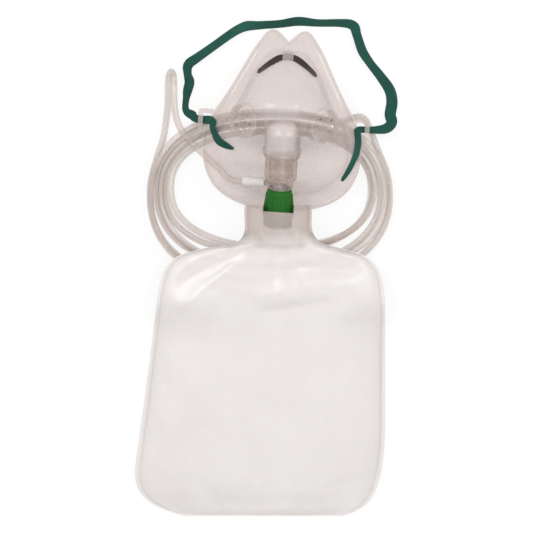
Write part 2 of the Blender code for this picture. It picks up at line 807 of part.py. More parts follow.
stem_hole = turned(
    "seat_stem_hole",
    [(0.0, SEAT_TOP + 1), (VALVE_STEM_RADIUS + GAP, SEAT_TOP + 1),
     (VALVE_STEM_RADIUS + GAP, SEAT_LOW - 1), (0.0, SEAT_LOW - 1)],
    None, TEE, steps=12, closed=False, cutter=True,
)
boolean(seat, stem_hole, "DIFFERENCE")
turned(
    "inlet_valve_flap",
    [
        (0.0, SEAT_TOP + GAP + VALVE_FLAP_THICKNESS),
        (SEAT_RADIUS - 0.6, SEAT_TOP + GAP + VALVE_FLAP_THICKNESS),
        (SEAT_RADIUS - 0.6, SEAT_TOP + GAP),
        (VALVE_STEM_RADIUS, SEAT_TOP + GAP),
        (VALVE_STEM_RADIUS, SEAT_LOW - GAP),
        (VALVE_HEAD_RADIUS, SEAT_LOW - GAP),
        (VALVE_STEM_RADIUS, SEAT_LOW - GAP - VALVE_HEAD_THICKNESS),
        (0.0, SEAT_LOW - GAP - VALVE_HEAD_THICKNESS),
    ],
    SILICONE, TEE, steps=24, closed=False,
)

# Green collar: ribbed cone round the tee's stem, with a beaded spigot in the bag's neck
COLLAR_TOP = NECK_END - GAP
COLLAR_BASE = COLLAR_TOP - COLLAR_LENGTH
COLLAR_END = COLLAR_BASE - COLLAR_SPIGOT_LENGTH
sections = []
for share, lift in ((0.0, -0.9), (0.05, 0.0), (0.2, 0.0), (0.22, 1.0), (0.86, 1.0), (0.88, 0.0),
                    (1.0, 0.0)):
    z = COLLAR_TOP - COLLAR_LENGTH * share
    base = COLLAR_TOP_RADIUS + (COLLAR_BASE_RADIUS - COLLAR_RIB_HEIGHT - COLLAR_TOP_RADIUS) * share
    row = []
    for i in range(COLLAR_RIBS * 4):
        angle = 2 * math.pi * i / (COLLAR_RIBS * 4)
        rib = COLLAR_RIB_HEIGHT if i % 4 in (0, 1) else 0.0
        r = base + (min(lift, 0.0) if lift < 0 else lift * rib)
        row.append((r * math.cos(angle), r * math.sin(angle), z))
    sections.append(row)
collar = add("bag_collar", loft("bag_collar", sections), GREEN, TEE)
collar_spigot = turned(
    "collar_spigot",
    [
        (0.0, COLLAR_BASE + 2.0),
        (COLLAR_SPIGOT_RADIUS, COLLAR_BASE + 2.0),
        (COLLAR_SPIGOT_RADIUS, COLLAR_END + 2.6),
        (COLLAR_SPIGOT_RADIUS + COLLAR_BEAD, COLLAR_END + 1.9),
        (COLLAR_SPIGOT_RADIUS + COLLAR_BEAD, COLLAR_END + 1.2),
        (COLLAR_SPIGOT_RADIUS - 0.4, COLLAR_END),
        (0.0, COLLAR_END),
    ],
    None, TEE, steps=32, closed=False, cutter=True,
)
boolean(collar, collar_spigot, "UNION")
COLLAR_BORE_END = STEM_END - GAP
collar_bore = turned(
    "collar_bore",
    [
        (0.0, COLLAR_TOP + 2.0),
        (TEE_STEM_RADIUS + GAP, COLLAR_TOP + 2.0),
        (TEE_STEM_RADIUS + GAP, COLLAR_BORE_END),
        (STEM_BORE, COLLAR_BORE_END),
        (STEM_BORE, COLLAR_END - 2.0),
        (0.0, COLLAR_END - 2.0),
    ],
    None, TEE, steps=32, closed=False, cutter=True,
)
boolean(collar, collar_bore, "DIFFERENCE")

# Tube sleeve on the nipple
SLEEVE_NEAR = TEE_BARREL_RADIUS + GAP
SLEEVE_FAR = SLEEVE_NEAR + SLEEVE_LENGTH
sleeve = turned(
    "tube_sleeve",
    [
        (SLEEVE_RADIUS - 0.4, SLEEVE_FAR),
        (SLEEVE_RADIUS, SLEEVE_FAR - 0.6),
        (SLEEVE_RADIUS, SLEEVE_NEAR),
        (NIPPLE_RADIUS + GAP, SLEEVE_NEAR),
        (NIPPLE_RADIUS + GAP, NIPPLE_END + GAP),
        (NIPPLE_BORE, NIPPLE_END + 1.2),
        (NIPPLE_BORE, SLEEVE_FAR),
    ],
    TUBING, TEE, steps=20,
)
place(sleeve, (0, 0, NIPPLE_Z), (-1, 0, 0))


# Reservoir bag: sections across its length, left and right edges, under and upper side
BAG = [
    (42.7, -15.4, 31.8, 14.4, 40.2),
    (36.0, -15.4, 31.8, 12.0, 38.4),
    (29.0, -15.2, 31.6, 10.8, 36.2),
    (22.0, -16.0, 33.0, BAG_REST, 32.4),
    (16.5, -21.0, 38.5, BAG_REST, 28.6),
    (11.5, -48.0, 56.0, BAG_REST, 24.8),
    (5.5, -64.5, 71.5, BAG_REST, 23.6),
    (-3.0, -71.5, 78.5, BAG_REST, 23.2),
    (-13.0, -75.0, 81.6, BAG_REST, 23.0),
    (-24.0, -76.6, 83.0, BAG_REST, 22.6),
    (-33.0, -77.6, 83.0, BAG_REST - 3.6, 21.0),
    (-42.0, -78.8, 83.0, 2.2, 18.6),
    (-52.0, -80.0, 83.0, 0.0, 16.6),
    (-90.0, -85.0, 83.0, 0.0, 15.0),
    (-125.0, -89.6, 82.6, 0.0, 13.0),
    (-145.0, -92.1, 80.0, 0.0, 10.6),
    (-156.5, -89.6, 76.6, 0.0, 8.0),
    (-165.0, -82.0, 71.5, 0.0, 5.2),
    (-171.0, -70.0, 63.5, 0.0, 3.0),
    (-174.55, -58.0, 54.0, 0.0, BAG_SEAM),
]
BAG_ACROSS = 14


# Valleys that the film folds into, seen from above: x, y at one end and at the other
FOLD_LINES = [
    ((-29.0, 6.3), (-64.0, -15.4)), ((19.0, 1.4), (64.0, -2.8)), ((10.0, -6.0), (14.0, -48.0)),
    ((-20.0, -52.0), (-66.0, -96.0)), ((30.0, -60.0), (62.0, -118.0)),
]


def fold_depth(x, y):
    depth = 0.0
    for (ax, ay), (bx, by) in FOLD_LINES:
        ex, ey = bx - ax, by - ay
        t = ((x - ax) * ex + (y - ay) * ey) / (ex * ex + ey * ey)
        t = min(max(t, 0.0), 1.0)
        away = math.hypot(x - ax - ex * t, y - ay - ey * t)
        depth = max(depth, FOLD_DEPTH * math.exp(-(away / FOLD_SPREAD) ** 2))
    return depth


def bag_section(y, left, right, low, high):
    lower, upper = [], []
    for i in range(BAG_ACROSS + 1):
        f = -math.cos(math.pi * i / BAG_ACROSS)
        x = (left + right) / 2 + (right - left) / 2 * f
        round_top = (1 - abs(f) ** 2.6) ** 0.5 if abs(f) < 1 else 0.0
        seam = low + min(BAG_SEAM, high - low)
        top = (high - seam) * round_top
        upper.append((x, y, seam + max(top - fold_depth(x, y), top * 0.6)))
        lower.append((x, y, low))
    return lower + upper[::-1]


def neck_section(y, left, right, low, high):
    """Round the collar in the middle, with flat wings of film beside it."""
    out = bag_section(y, left, right, low, high)
    middle = (low + high) / 2
    count = BAG_ACROSS + 1
    shaped = []
    for i, (x, yy, z) in enumerate(out):
        f = (x - (left + right) / 2) / ((right - left) / 2)
        bulge = max(0.0, 1 - (abs(f) / 0.92) ** 2.2) ** 0.7
        half = BAG_SEAM / 2 + ((high - low) / 2 - BAG_SEAM / 2) * bulge
        shaped.append((x, yy, middle - half if i < count else middle + half))
    return shaped


sections = []
for k, row in enumerate(BAG):
    sections.append(neck_section(*row) if k < 4 else bag_section(*row))
bag = add("reservoir_bag", loft("reservoir_bag", sections), FILM)
mouth = turned(
    "bag_mouth",
    [
        (0.0, COLLAR_BASE + 30.0),
        (COLLAR_BASE_RADIUS + GAP, COLLAR_BASE + 30.0),
        (COLLAR_BASE_RADIUS + GAP, COLLAR_BASE - GAP),
        (COLLAR_SPIGOT_RADIUS + COLLAR_BEAD + GAP, COLLAR_BASE - GAP - 0.2),
        (COLLAR_SPIGOT_RADIUS + COLLAR_BEAD + GAP, COLLAR_END - GAP),
        (0.0, COLLAR_END - GAP),
    ],
    None, TEE, steps=32, closed=False, cutter=True,
)
boolean(bag, mouth, "DIFFERENCE")
NOTCH_LENGTH = 30.0
notch_floor = SOCKET_Z - (BAG_FRONT_V - SOCKET_V) * math.tan(AXIS_SLOPE) + 2.0
notch = box(
    "neck_notch",
    (2 * COLLAR_BASE_RADIUS - 1.0, NOTCH_LENGTH, NOTCH_LENGTH),
    (0.0, NOTCH_LENGTH / 2 - BAG_FRONT_V, notch_floor + NOTCH_LENGTH / 2),
    MASK,
)
boolean(bag, notch, "DIFFERENCE")


bpy.context.view_layer.update()


# Head strap: through both ears, round on the table over the nose end
def in_mask(u, v, z):
    c, s = math.cos(MASK_TURN), math.sin(MASK_TURN)
    return (MASK_AT[0] + u * c + v * s, MASK_AT[1] + u * s - v * c, z)


STRAP_FLOOR = STRAP_THICKNESS / 2 + 0.45
STRAP_OVER = RIM_CHEEK + EAR_PROUD + GAP + STRAP_THICKNESS / 2 + 0.3
STRAP_UNDER = RIM_CHEEK + EAR_PROUD - EAR_THICKNESS - GAP - STRAP_THICKNESS / 2 - 0.05
TAIL_LIFT = GAP + STRAP_THICKNESS / 2 + 0.5
DIVE = 2.2


def on_cheek(u, v):
    """A point of a strap tail that lies on the mask's upper face."""
    low = dome_normal(u, v, STRAP_WIDTH / 2)
    point = Vector((u, -v, dome(u, v))) + low * TAIL_LIFT
    return in_mask(point.x, -point.y, point.z)


strap_route = [
    on_cheek(-35.5, 75.5), on_cheek(-39.5, 74.4), on_cheek(-43.4, 72.0), on_cheek(-46.6, 67.6),
    on_cheek(-48.6, 63.0),
    in_mask(-EAR_SLOT_U + DIVE + 2.0, EAR_SLOT_V + 1.4, STRAP_OVER),
    in_mask(-EAR_SLOT_U + DIVE, EAR_SLOT_V, STRAP_OVER),
    in_mask(-EAR_SLOT_U - DIVE, EAR_SLOT_V, STRAP_UNDER),
    in_mask(-EAR_SLOT_U - DIVE - 6.0, EAR_SLOT_V - 0.6, STRAP_UNDER),
    (-51.2, 105.0, STRAP_UNDER), (-55.6, 108.2, 9.0), (-56.9, 112.6, 5.2),
    (-56.4, 117.2, 2.4), (-55.3, 122.4, STRAP_FLOOR), (-54.2, 128.4, STRAP_FLOOR),
    (-55.2, 134.0, STRAP_FLOOR), (-55.0, 140.4, STRAP_FLOOR), (-47.4, 146.6, STRAP_FLOOR),
    (-34.0, 156.0, STRAP_FLOOR), (-20.6, 165.2, STRAP_FLOOR), (-4.0, 168.6, STRAP_FLOOR),
    (22.0, 171.2, STRAP_FLOOR), (44.0, 170.1, STRAP_FLOOR), (59.4, 168.0, STRAP_FLOOR),
    (63.0, 160.6, STRAP_FLOOR), (66.0, 151.6, STRAP_FLOOR), (79.0, 131.8, STRAP_FLOOR),
    (87.6, 120.0, STRAP_FLOOR), (88.2, 114.0, STRAP_FLOOR), (86.4, 107.0, STRAP_FLOOR + 0.6),
    (87.6, 100.6, 4.6), (84.4, 96.6, 8.2),
    in_mask(EAR_SLOT_U + DIVE + 6.0, EAR_SLOT_V - 0.2, STRAP_UNDER),
    in_mask(EAR_SLOT_U + DIVE, EAR_SLOT_V, STRAP_UNDER),
    in_mask(EAR_SLOT_U - DIVE, EAR_SLOT_V, STRAP_OVER),
    in_mask(EAR_SLOT_U - DIVE - 0.8, EAR_SLOT_V + 3.0, STRAP_OVER),
    on_cheek(51.6, 66.4), on_cheek(51.0, 73.0), on_cheek(49.2, 79.6), on_cheek(46.2, 86.0),
]
strap_line = spline(strap_route, 3)
strap_sides, strap_normals = lay(strap_line)
STRAP_CLEARANCE = FLANGE_CURL + 1.2 * GAP


def clearance(point, side, up):
    """Least height of the strap's underside over the mask, across its width."""
    least = None
    for share in (-0.5, -0.25, 0.0, 0.25, 0.5):
        low = point + side * (STRAP_WIDTH * share) - up * (STRAP_THICKNESS / 2)
        back = MASK.matrix_world.inverted() @ (low * MM)
        height = low.z - dome(back.x / MM, -back.y / MM)
        least = height if least is None else min(least, height)
    return least


def settle(points, sides, normals, span):
    """Turn the tail's points to the mask's face and lift them clear of it."""
    lifts = []
    for i in span:
        back = MASK.matrix_world.inverted() @ (points[i] * MM)
        up = MASK.matrix_world.to_3x3() @ dome_normal(back.x / MM, -back.y / MM, STRAP_WIDTH)
        ahead = (points[min(i + 1, len(points) - 1)] - points[max(i - 1, 0)]).normalized()
        sides[i] = ahead.cross(up).normalized()
        normals[i] = sides[i].cross(ahead).normalized()
        lift = 0.0
        while clearance(points[i] + normals[i] * lift, sides[i], normals[i]) < STRAP_CLEARANCE:
            lift += 0.1
        lifts.append(lift)
    for k, i in enumerate(span):
        near = lifts[max(k - 1, 0):k + 2]
        points[i] = points[i] + normals[i] * max(near)


TAIL_SPAN = 6 * 3
settle(strap_line, strap_sides, strap_normals, list(range(TAIL_SPAN + 1)))
settle(strap_line, strap_sides, strap_normals,
       list(range(len(strap_line) - TAIL_SPAN + 1, len(strap_line))))
add(
    "head_strap",
    swept("head_strap", strap_line, strap_sides, strap_normals, STRAP_WIDTH,
          -STRAP_THICKNESS / 2, STRAP_THICKNESS / 2),
    ELASTIC,
)


# Coil: an oval ring of tubing lying on the table
def oval(size, angle, squareness=COIL_SQUARENESS):
    c, s = math.cos(angle), math.sin(angle)
    return (
        size[0] * math.copysign(abs(c) ** (2 / squareness), c),
        size[1] * math.copysign(abs(s) ** (2 / squareness), s),
    )


sections = []
ROUND = 2.2
for i in range(48):
    angle = 2 * math.pi * i / 48
    ox, oy = oval(COIL_OUTER, angle)
    ix, iy = oval(COIL_INNER, angle)
    outer = Vector((COIL_CENTRE[0] + ox, COIL_CENTRE[1] + oy, 0))
    inner = Vector((COIL_CENTRE[0] + ix, COIL_CENTRE[1] + COIL_INNER_SHIFT + iy, 0))
    across = (outer - inner).normalized() * ROUND
    up = Vector((0, 0, 1))
    sections.append([
        outer - across, outer + up * ROUND, outer + up * (COIL_HEIGHT - ROUND),
        outer - across + up * COIL_HEIGHT, inner + across + up * COIL_HEIGHT,
        inner + up * (COIL_HEIGHT - ROUND), inner + up * ROUND, inner + across,
    ])
coil = add("tube_coil", loft("tube_coil", sections, ring=True), TUBING)
lobe = drills("coil_lobe", [(0.0, 0.0, LOBE_RADIUS)], 0.0, COIL_HEIGHT - 0.2, None, 16)
lobe.location = (LOBE_AT[0] * MM, LOBE_AT[1] * MM, (COIL_HEIGHT / 2) * MM)
neck = box(
    "coil_lobe_neck", (2 * LOBE_RADIUS - 0.6, 18.0, COIL_HEIGHT - 0.6),
    (LOBE_AT[0], LOBE_AT[1] - 9.0, COIL_HEIGHT / 2), None,
)
boolean(coil, lobe, "UNION")
boolean(coil, neck, "UNION")

# Free stretch of tubing: from the sleeve, over the cheek, a standing loop, into the coil
start = TEE.matrix_world @ Vector(((-SLEEVE_FAR - GAP) * MM, 0, NIPPLE_Z * MM)) / MM
lead = TEE.matrix_world @ Vector(((-SLEEVE_FAR - 7.0) * MM, 0, NIPPLE_Z * MM)) / MM
TUBE_FLOOR = TUBE_DIAMETER / 2 + 0.2
tube_route = [
    start, lead, (-34.5, 69.5, 32.0), (-47.5, 81.5, 29.5), (-57.6, 92.0, 27.5),
    (-63.0, 103.0, 26.6), (-64.6, 115.0, 26.2), (-64.7, 126.0, 25.4), (-65.2, 133.0, 21.6),
    (-66.7, 136.0, 14.6), (-68.3, 133.0, 7.4), (-68.9, 125.0, 3.4), (-69.0, 114.0, TUBE_FLOOR),
    (-70.4, 100.0, TUBE_FLOOR), (-71.9, 90.0, TUBE_FLOOR),
]
tube_line = even(spline(tube_route, 10), 6.0)
tube("oxygen_tube", tube_line, TUBE_DIAMETER / 2, TUBING)

# Source connector at the far end of the tubing, on the table under the bag's top
SOURCE_AT = (18.0, -24.0)
source = turned(
    "tube_source_connector",
    [
        (SOURCE_RADIUS - 1.4, SOURCE_LENGTH),
        (SOURCE_RADIUS - 0.4, SOURCE_LENGTH * 0.62),
        (SOURCE_RADIUS, SOURCE_LENGTH * 0.5),
        (SOURCE_RADIUS, 0.6),
        (SOURCE_RADIUS - 0.5, 0.0),
        (SOURCE_BORE, 0.0),
        (SOURCE_BORE, SOURCE_LENGTH * 0.55),
        (NIPPLE_BORE, SOURCE_LENGTH * 0.6),
        (NIPPLE_BORE, SOURCE_LENGTH),
    ],
    TUBING, None, steps=24,
)
SOURCE_DIRECTION = Vector((-1, 0.12, 0)).normalized()
source_mouth = Vector((SOURCE_AT[0], SOURCE_AT[1], SOURCE_RADIUS + 0.1))
place(source, source_mouth, SOURCE_DIRECTION)
source_end = source_mouth + SOURCE_DIRECTION * (SOURCE_LENGTH + GAP)
end_route = [
    (-33.5, -13.8, TUBE_FLOOR), (-29.2, -17.0, TUBE_FLOOR + 0.4),
    source_end + SOURCE_DIRECTION * 5.0, source_end,
]
tube("oxygen_tube_end", even(spline(end_route, 8), 4.0), TUBE_DIAMETER / 2, TUBING)
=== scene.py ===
# %% [markdown]
# # Oxygen mask with reservoir bag, laid flat on a white table
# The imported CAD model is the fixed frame: every piece below is made in its millimetres and
# put where the CAD says. Camera and tubing come first, then the moulded mask, the bag, the
# strap and the clip, then the finishes of the pieces that keep their CAD shape, and last
# the table and its light.

# %% Load the frame
import bpy
import bmesh
import math
import numpy as np
from mathutils import Matrix, Vector, noise


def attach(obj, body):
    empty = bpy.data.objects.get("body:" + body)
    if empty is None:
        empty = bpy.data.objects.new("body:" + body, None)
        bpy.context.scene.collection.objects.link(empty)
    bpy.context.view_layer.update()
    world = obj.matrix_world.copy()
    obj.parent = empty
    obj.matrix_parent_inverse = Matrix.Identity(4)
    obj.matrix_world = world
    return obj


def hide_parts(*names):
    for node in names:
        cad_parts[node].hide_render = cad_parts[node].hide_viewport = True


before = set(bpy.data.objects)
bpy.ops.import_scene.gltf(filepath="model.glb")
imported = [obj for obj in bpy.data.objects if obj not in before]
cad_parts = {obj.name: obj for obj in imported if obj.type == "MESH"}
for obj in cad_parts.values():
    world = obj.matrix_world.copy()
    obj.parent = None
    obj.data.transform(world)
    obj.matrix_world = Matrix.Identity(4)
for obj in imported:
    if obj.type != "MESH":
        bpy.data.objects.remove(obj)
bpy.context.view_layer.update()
MM = 0.001
print("nodes:", sorted(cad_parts))

# %% [markdown]
# ## The camera
# The photograph is taken from straight above with no visible perspective. An orthographic
# camera over the table gives that, and one number sets how many metres the picture covers.
# A long lens would come close, but would still show the sides of the dome.

# %% Camera
PICTURE_WIDTH, PICTURE_MIDDLE, CAMERA_HEIGHT = 0.3731, (0.0, -0.00035), 1.2
camera_data = bpy.data.cameras.new("overhead")
camera_data.type = "ORTHO"
camera_data.ortho_scale = PICTURE_WIDTH
camera_data.clip_end = 10
camera = bpy.data.objects.new("overhead", camera_data)
camera.location = (*PICTURE_MIDDLE, CAMERA_HEIGHT)
bpy.context.scene.collection.objects.link(camera)
bpy.context.scene.camera = camera
bpy.context.scene.view_settings.view_transform = "Standard"
print("picture covers", PICTURE_WIDTH, "m")

# %% [markdown]
# ## Smooth lines
# Tubing, strap and outlines follow smooth curves through a few measured points. A
# centripetal Catmull-Rom curve passes through every point and doesn't overshoot where
# they are unevenly spaced. It works in any number of dimensions, so the bag's cross
# sections are smoothed the same way.


# %% Curve helpers
def reached(p, q, a, b, t):
    """Where a straight run from p at a to q at b is at t."""
    return p + (q - p) * (t - a) / (b - a)


def smooth_line(points, steps):
    pts = [np.array(p, float) for p in points]
    ext = [2 * pts[0] - pts[1]] + pts + [2 * pts[-1] - pts[-2]]
    out = []
    for i in range(1, len(ext) - 2):
        p0, p1, p2, p3 = ext[i - 1:i + 3]
        t1 = max(np.linalg.norm(p1 - p0), 1e-6) ** 0.5
        t2 = t1 + max(np.linalg.norm(p2 - p1), 1e-6) ** 0.5
        t3 = t2 + max(np.linalg.norm(p3 - p2), 1e-6) ** 0.5
        for k in range(steps):
            t = t1 + (t2 - t1) * k / steps
            a2 = reached(p1, p2, t1, t2, t)
            b1 = reached(reached(p0, p1, 0, t1, t), a2, 0, t2, t)
            b2 = reached(a2, reached(p2, p3, t2, t3, t), t1, t3, t)
            out.append(reached(b1, b2, t1, t2, t))
    out.append(pts[-1])
    return out


def evenly(points, spacing):
    pts = np.array(points, float)
    run = np.concatenate([[0], np.cumsum(np.linalg.norm(np.diff(pts, axis=0), axis=1))])
    count = max(2, int(round(run[-1] / spacing)))
    want = np.linspace(0, run[-1], count + 1)
    return np.stack([np.interp(want, run, pts[:, k]) for k in range(pts.shape[1])], axis=1)


def between(rows, x):
    """Value at x of a smooth line through (x, value) rows."""
    if x <= rows[0][0]:
        return rows[0][1]
    if x >= rows[-1][0]:
        return rows[-1][1]
    slope = []
    for i in range(len(rows)):
        a, b = rows[max(i - 1, 0)], rows[min(i + 1, len(rows) - 1)]
        slope.append((b[1] - a[1]) / (b[0] - a[0]))
    i = next(k for k in range(len(rows) - 1) if x <= rows[k + 1][0])
    (x0, y0), (x1, y1) = rows[i], rows[i + 1]
    h = x1 - x0
    t = (x - x0) / h
    return ((1 + 2 * t) * (1 - t) ** 2 * y0 + t * (1 - t) ** 2 * h * slope[i]
            + t * t * (3 - 2 * t) * y1 + t * t * (t - 1) * h * slope[i + 1])


def ease(x, low, high):
    t = min(1.0, max(0.0, (x - low) / (high - low)))
    return t * t * (3 - 2 * t)


# %% [markdown]
# ## Pieces from points
# Each piece is a mesh made from rows of points in millimetres. One helper turns points
# and faces into a mesh with smooth shading and its sharp edges kept. Another makes the
# piece, rides it on the one body and names the finish it takes.


# %% Piece helpers
def smooth(mesh, sharp):
    """Smooth shading, with edges sharper than an angle in degrees kept."""
    mesh.shade_smooth()
    mesh.set_sharp_from_angle(angle=math.radians(sharp))


def new_mesh(name, points, faces, sharp=35):
    mesh = bpy.data.meshes.new(name)
    mesh.from_pydata([tuple(float(c) * MM for c in p) for p in points], [], faces)
    work = bmesh.new()
    work.from_mesh(mesh)
    bmesh.ops.recalc_face_normals(work, faces=work.faces)
    work.to_mesh(mesh)
    work.free()
    smooth(mesh, sharp)
    return mesh


def new_piece(name, mesh, finish=None, slot=None, stands_for=()):
    piece = bpy.data.objects.new(name, mesh)
    bpy.context.scene.collection.objects.link(piece)
    if finish is not None:
        mesh.materials.append(finish)
    if slot is not None:
        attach(piece, "root")
    if stands_for:
        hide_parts(*stands_for)
    return piece


def skin(sections, ring=False):
    """Faces between closed sections of equal count, with both ends closed or joined."""
    count, rows = len(sections[0]), len(sections)
    points = [p for section in sections for p in section]
    faces = []
    for i in range(rows if ring else rows - 1):
        a, b = i * count, ((i + 1) % rows) * count
        for j in range(count):
            k = (j + 1) % count
            faces.append((a + j, a + k, b + k, b + j))
    if not ring:
        faces.append(tuple(range(count)))
        faces.append(tuple(range((rows - 1) * count, rows * count)))
    return points, faces


def apply_steps(piece):
    """Replace a piece's mesh by what its modifiers make of it."""
    graph = bpy.context.evaluated_depsgraph_get()
    done = bpy.data.meshes.new_from_object(piece.evaluated_get(graph))
    old = piece.data
    piece.modifiers.clear()
    piece.data = done
    bpy.data.meshes.remove(old)


def move_mm(mesh, matrix):
    """Move a mesh by a matrix whose lengths are millimetres."""
    for step in (Matrix.Scale(1 / MM, 4), matrix, Matrix.Scale(MM, 4)):
        mesh.transform(step)


# %% [markdown]
# ## Where the mask and the tee stand
# The mask is turned a few degrees on the table, with the notch of its nose edge as its
# origin. The tee lies on a line that slopes 20 degrees, nose end high. Two matrices say
# this once, and every piece of the mask or the tee is made in its own plain axes.

# %% Frames
MASK_AT = (15.75, 156.8)
MASK_TURN = math.radians(-3.62)
SOCKET_V, SOCKET_Z, AXIS_SLOPE = 78.0, 40.2, math.radians(20)
MASK = Matrix.Translation((MASK_AT[0], MASK_AT[1], 0)) @ Matrix.Rotation(MASK_TURN, 4, "Z")


def at_socket(base):
    """Matrix that puts the origin in the socket's mouth and Z up along the tee."""
    return (base @ Matrix.Translation((0, -SOCKET_V, SOCKET_Z))
            @ Matrix.Rotation(AXIS_SLOPE - math.pi / 2, 4, "X"))


TEE = at_socket(MASK)


def in_mask(u, v, z):
    return tuple(MASK @ Vector((u, -v, z)))


def in_tee(x, y, z):
    return tuple(TEE @ Vector((x, y, z)))


print("socket mouth at", [round(c, 1) for c in in_tee(0, 0, 0)])

# %% [markdown]
# ## Nodes for clear plastics
# Clear vinyl and film are thin. What shows is the table through them, a little darker
# and pinker for each wall, much darker where a wall is seen edge-on, with a gleam on top.
# A glass shader would bend and lose the light of a thin wall. A Transparent shader mixed
# with a hazy plastic by Layer Weight gives the look cleanly.


# %% Node helpers
HEAD_ON, MOST_GLEAM = 0.04, 0.9


class Wiring:
    """Short calls that add nodes to one node tree and join them."""

    def __init__(self, tree):
        self.tree = tree

    def put(self, socket, value):
        if isinstance(value, bpy.types.NodeSocket):
            self.tree.links.new(value, socket)
        else:
            socket.default_value = value

    def node(self, kind, settings=None, **inputs):
        """A node; inputs are given by name, or by number as i0, i1 and so on."""
        made = self.tree.nodes.new("ShaderNode" + kind)
        for key, value in (settings or {}).items():
            setattr(made, key, value)
        for key, value in inputs.items():
            numbered = key[0] == "i" and key[1:].isdigit()
            key = int(key[1:]) if numbered else key.replace("_", " ")
            self.put(made.inputs[key], value)
        return made

    def place(self, stretch=(1, 1, 1)):
        coords = self.node("TexCoord")
        mapped = self.node("Mapping", Vector=coords.outputs["Object"], Scale=stretch)
        return mapped.outputs["Vector"]

    def clouds(self, scale, detail=3.0, roughness=0.5, stretch=(1, 1, 1), seed=0.0):
        made = self.node("TexNoise", {"noise_dimensions": "4D"},
                         Vector=self.place(stretch), W=seed, Scale=scale,
                         Detail=detail, Roughness=roughness)
        return made.outputs["Fac"]

    def span(self, value, low, high, to_low, to_high):
        made = self.node("MapRange", Value=value, From_Min=low, From_Max=high,
                         To_Min=to_low, To_Max=to_high)
        return made.outputs["Result"]

    def maths(self, kind, a, b):
        return self.node("Math", {"operation": kind}, i0=a, i1=b).outputs[0]

    def blend(self, share, a, b):
        made = self.node("Mix", {"data_type": "RGBA"}, i0=share)
        for k, value in ((6, a), (7, b)):
            linked = isinstance(value, bpy.types.NodeSocket)
            self.put(made.inputs[k], value if linked else (*value, 1.0))
        return made.outputs[2]

    def patch(self, x_low, x_high, y_low, y_high, soft=0.0016):
        """1 inside a rectangle of the plan, in metres, 0 outside, with soft edges."""
        at = self.node("SeparateXYZ", Vector=self.place()).outputs
        share = None
        for axis, low, high in (("X", x_low, x_high), ("Y", y_low, y_high)):
            for edge, sign in ((low, 1), (high, -1)):
                step = self.span(at[axis], edge - sign * soft, edge + sign * soft, 0.0, 1.0)
                share = step if share is None else self.maths("MULTIPLY", share, step)
        return share

    def gleam(self, normal, gloss):
        """Share of light that a thin wall reflects, the same from both of its sides."""
        slant = self.node("LayerWeight", Blend=0.5, Normal=normal).outputs["Facing"]
        share = self.maths("MULTIPLY", self.maths("POWER", slant, 5.0), 1 - HEAD_ON)
        share = self.maths("MULTIPLY", self.maths("ADD", share, HEAD_ON), gloss)
        return self.maths("MINIMUM", share, MOST_GLEAM)

    def white_rays(self):
        """1 for rays that see the white ground directly, in a gleam or through glass."""
        path = self.node("LightPath").outputs
        seen = self.maths("MAXIMUM", path["Is Camera Ray"], path["Is Glossy Ray"])
        return self.maths("MAXIMUM", seen, path["Is Transmission Ray"])

    def bump(self, height, strength, distance):
        return self.node("Bump", Height=height, Strength=strength,
                         Distance=distance).outputs["Normal"]


# %% [markdown]
# A finish is one material. Film, vinyl and tubing share one build: a tinted clear wall, a
# share of it covered by milky haze, and the gleam over both. Only where the haze lies and
# how strong it is differ from piece to piece.


# %% Clear finishes
# colour of the painted light on the socket's roof and shoulder
PAINTED_LIGHT_VINYL = (0.79, 0.725, 0.705)
HAZE_ROUGHNESS, HAZE_SPECULAR = 0.55, 0.15


class Finish(Wiring):
    """A material and its wiring."""

    def __init__(self, name):
        self.material = bpy.data.materials.new(name)
        self.material.use_nodes = True
        super().__init__(self.material.node_tree)
        self.tree.nodes.clear()

    def finish(self, shader):
        self.node("OutputMaterial", Surface=shader)
        return self.material

    def thin_wall(self, cover, tint, colour, normal, gloss, shine_roughness,
                  roughness=HAZE_ROUGHNESS, specular=HAZE_SPECULAR):
        """Clear wall of one tint, haze of one colour over part of it, gleam on top."""
        haze = self.node("BsdfPrincipled", Base_Color=colour, Roughness=roughness,
                         Normal=normal, Specular_IOR_Level=specular)
        through = self.node("BsdfTransparent", Color=tint)
        wall = self.node("MixShader", i0=cover, i1=through.outputs[0], i2=haze.outputs[0])
        shine = self.node("BsdfGlossy", Normal=normal, Roughness=shine_roughness)
        top = self.node("MixShader", i0=self.gleam(normal, gloss), i1=wall.outputs[0],
                        i2=shine.outputs[0])
        return self.finish(top.outputs[0])


def clear_plastic(name, tint, haze, haze_dark, face, edge, gloss, roughness,
                  slant=(0.42, 0.95), ripple=0.0, ripple_scale=90.0, mottle=0.0,
                  mottle_scale=60.0, seed=1.0, pale=()):
    """Thin clear wall with more haze, and darker, where it is seen at a slant."""
    f = Finish(name)
    facing = f.node("LayerWeight", Blend=0.35).outputs["Facing"]
    patches = f.clouds(mottle_scale, 4.0, 0.55, seed=seed)
    cover = f.span(facing, *slant, face, edge)
    cover = f.maths("ADD", cover, f.span(patches, 0.3, 0.7, -mottle, mottle))
    colour = f.blend(f.span(facing, *slant, 0.0, 1.0), haze, haze_dark)
    # painted light: inside each area the wall is made paler and less clear, as if lit there
    for area, more in pale:
        share = f.patch(*area)
        cover = f.maths("ADD", cover, f.maths("MULTIPLY", share, more))
        colour = f.blend(share, colour, PAINTED_LIGHT_VINYL)
    cover = f.maths("MINIMUM", f.maths("MAXIMUM", cover, 0.02), 0.96)
    fine = f.clouds(ripple_scale, 2.0, 0.5, seed=seed + 3)
    normal = f.bump(fine, ripple, 0.001)
    return f.thin_wall(cover, (*tint, 1.0), colour, normal, gloss, roughness)


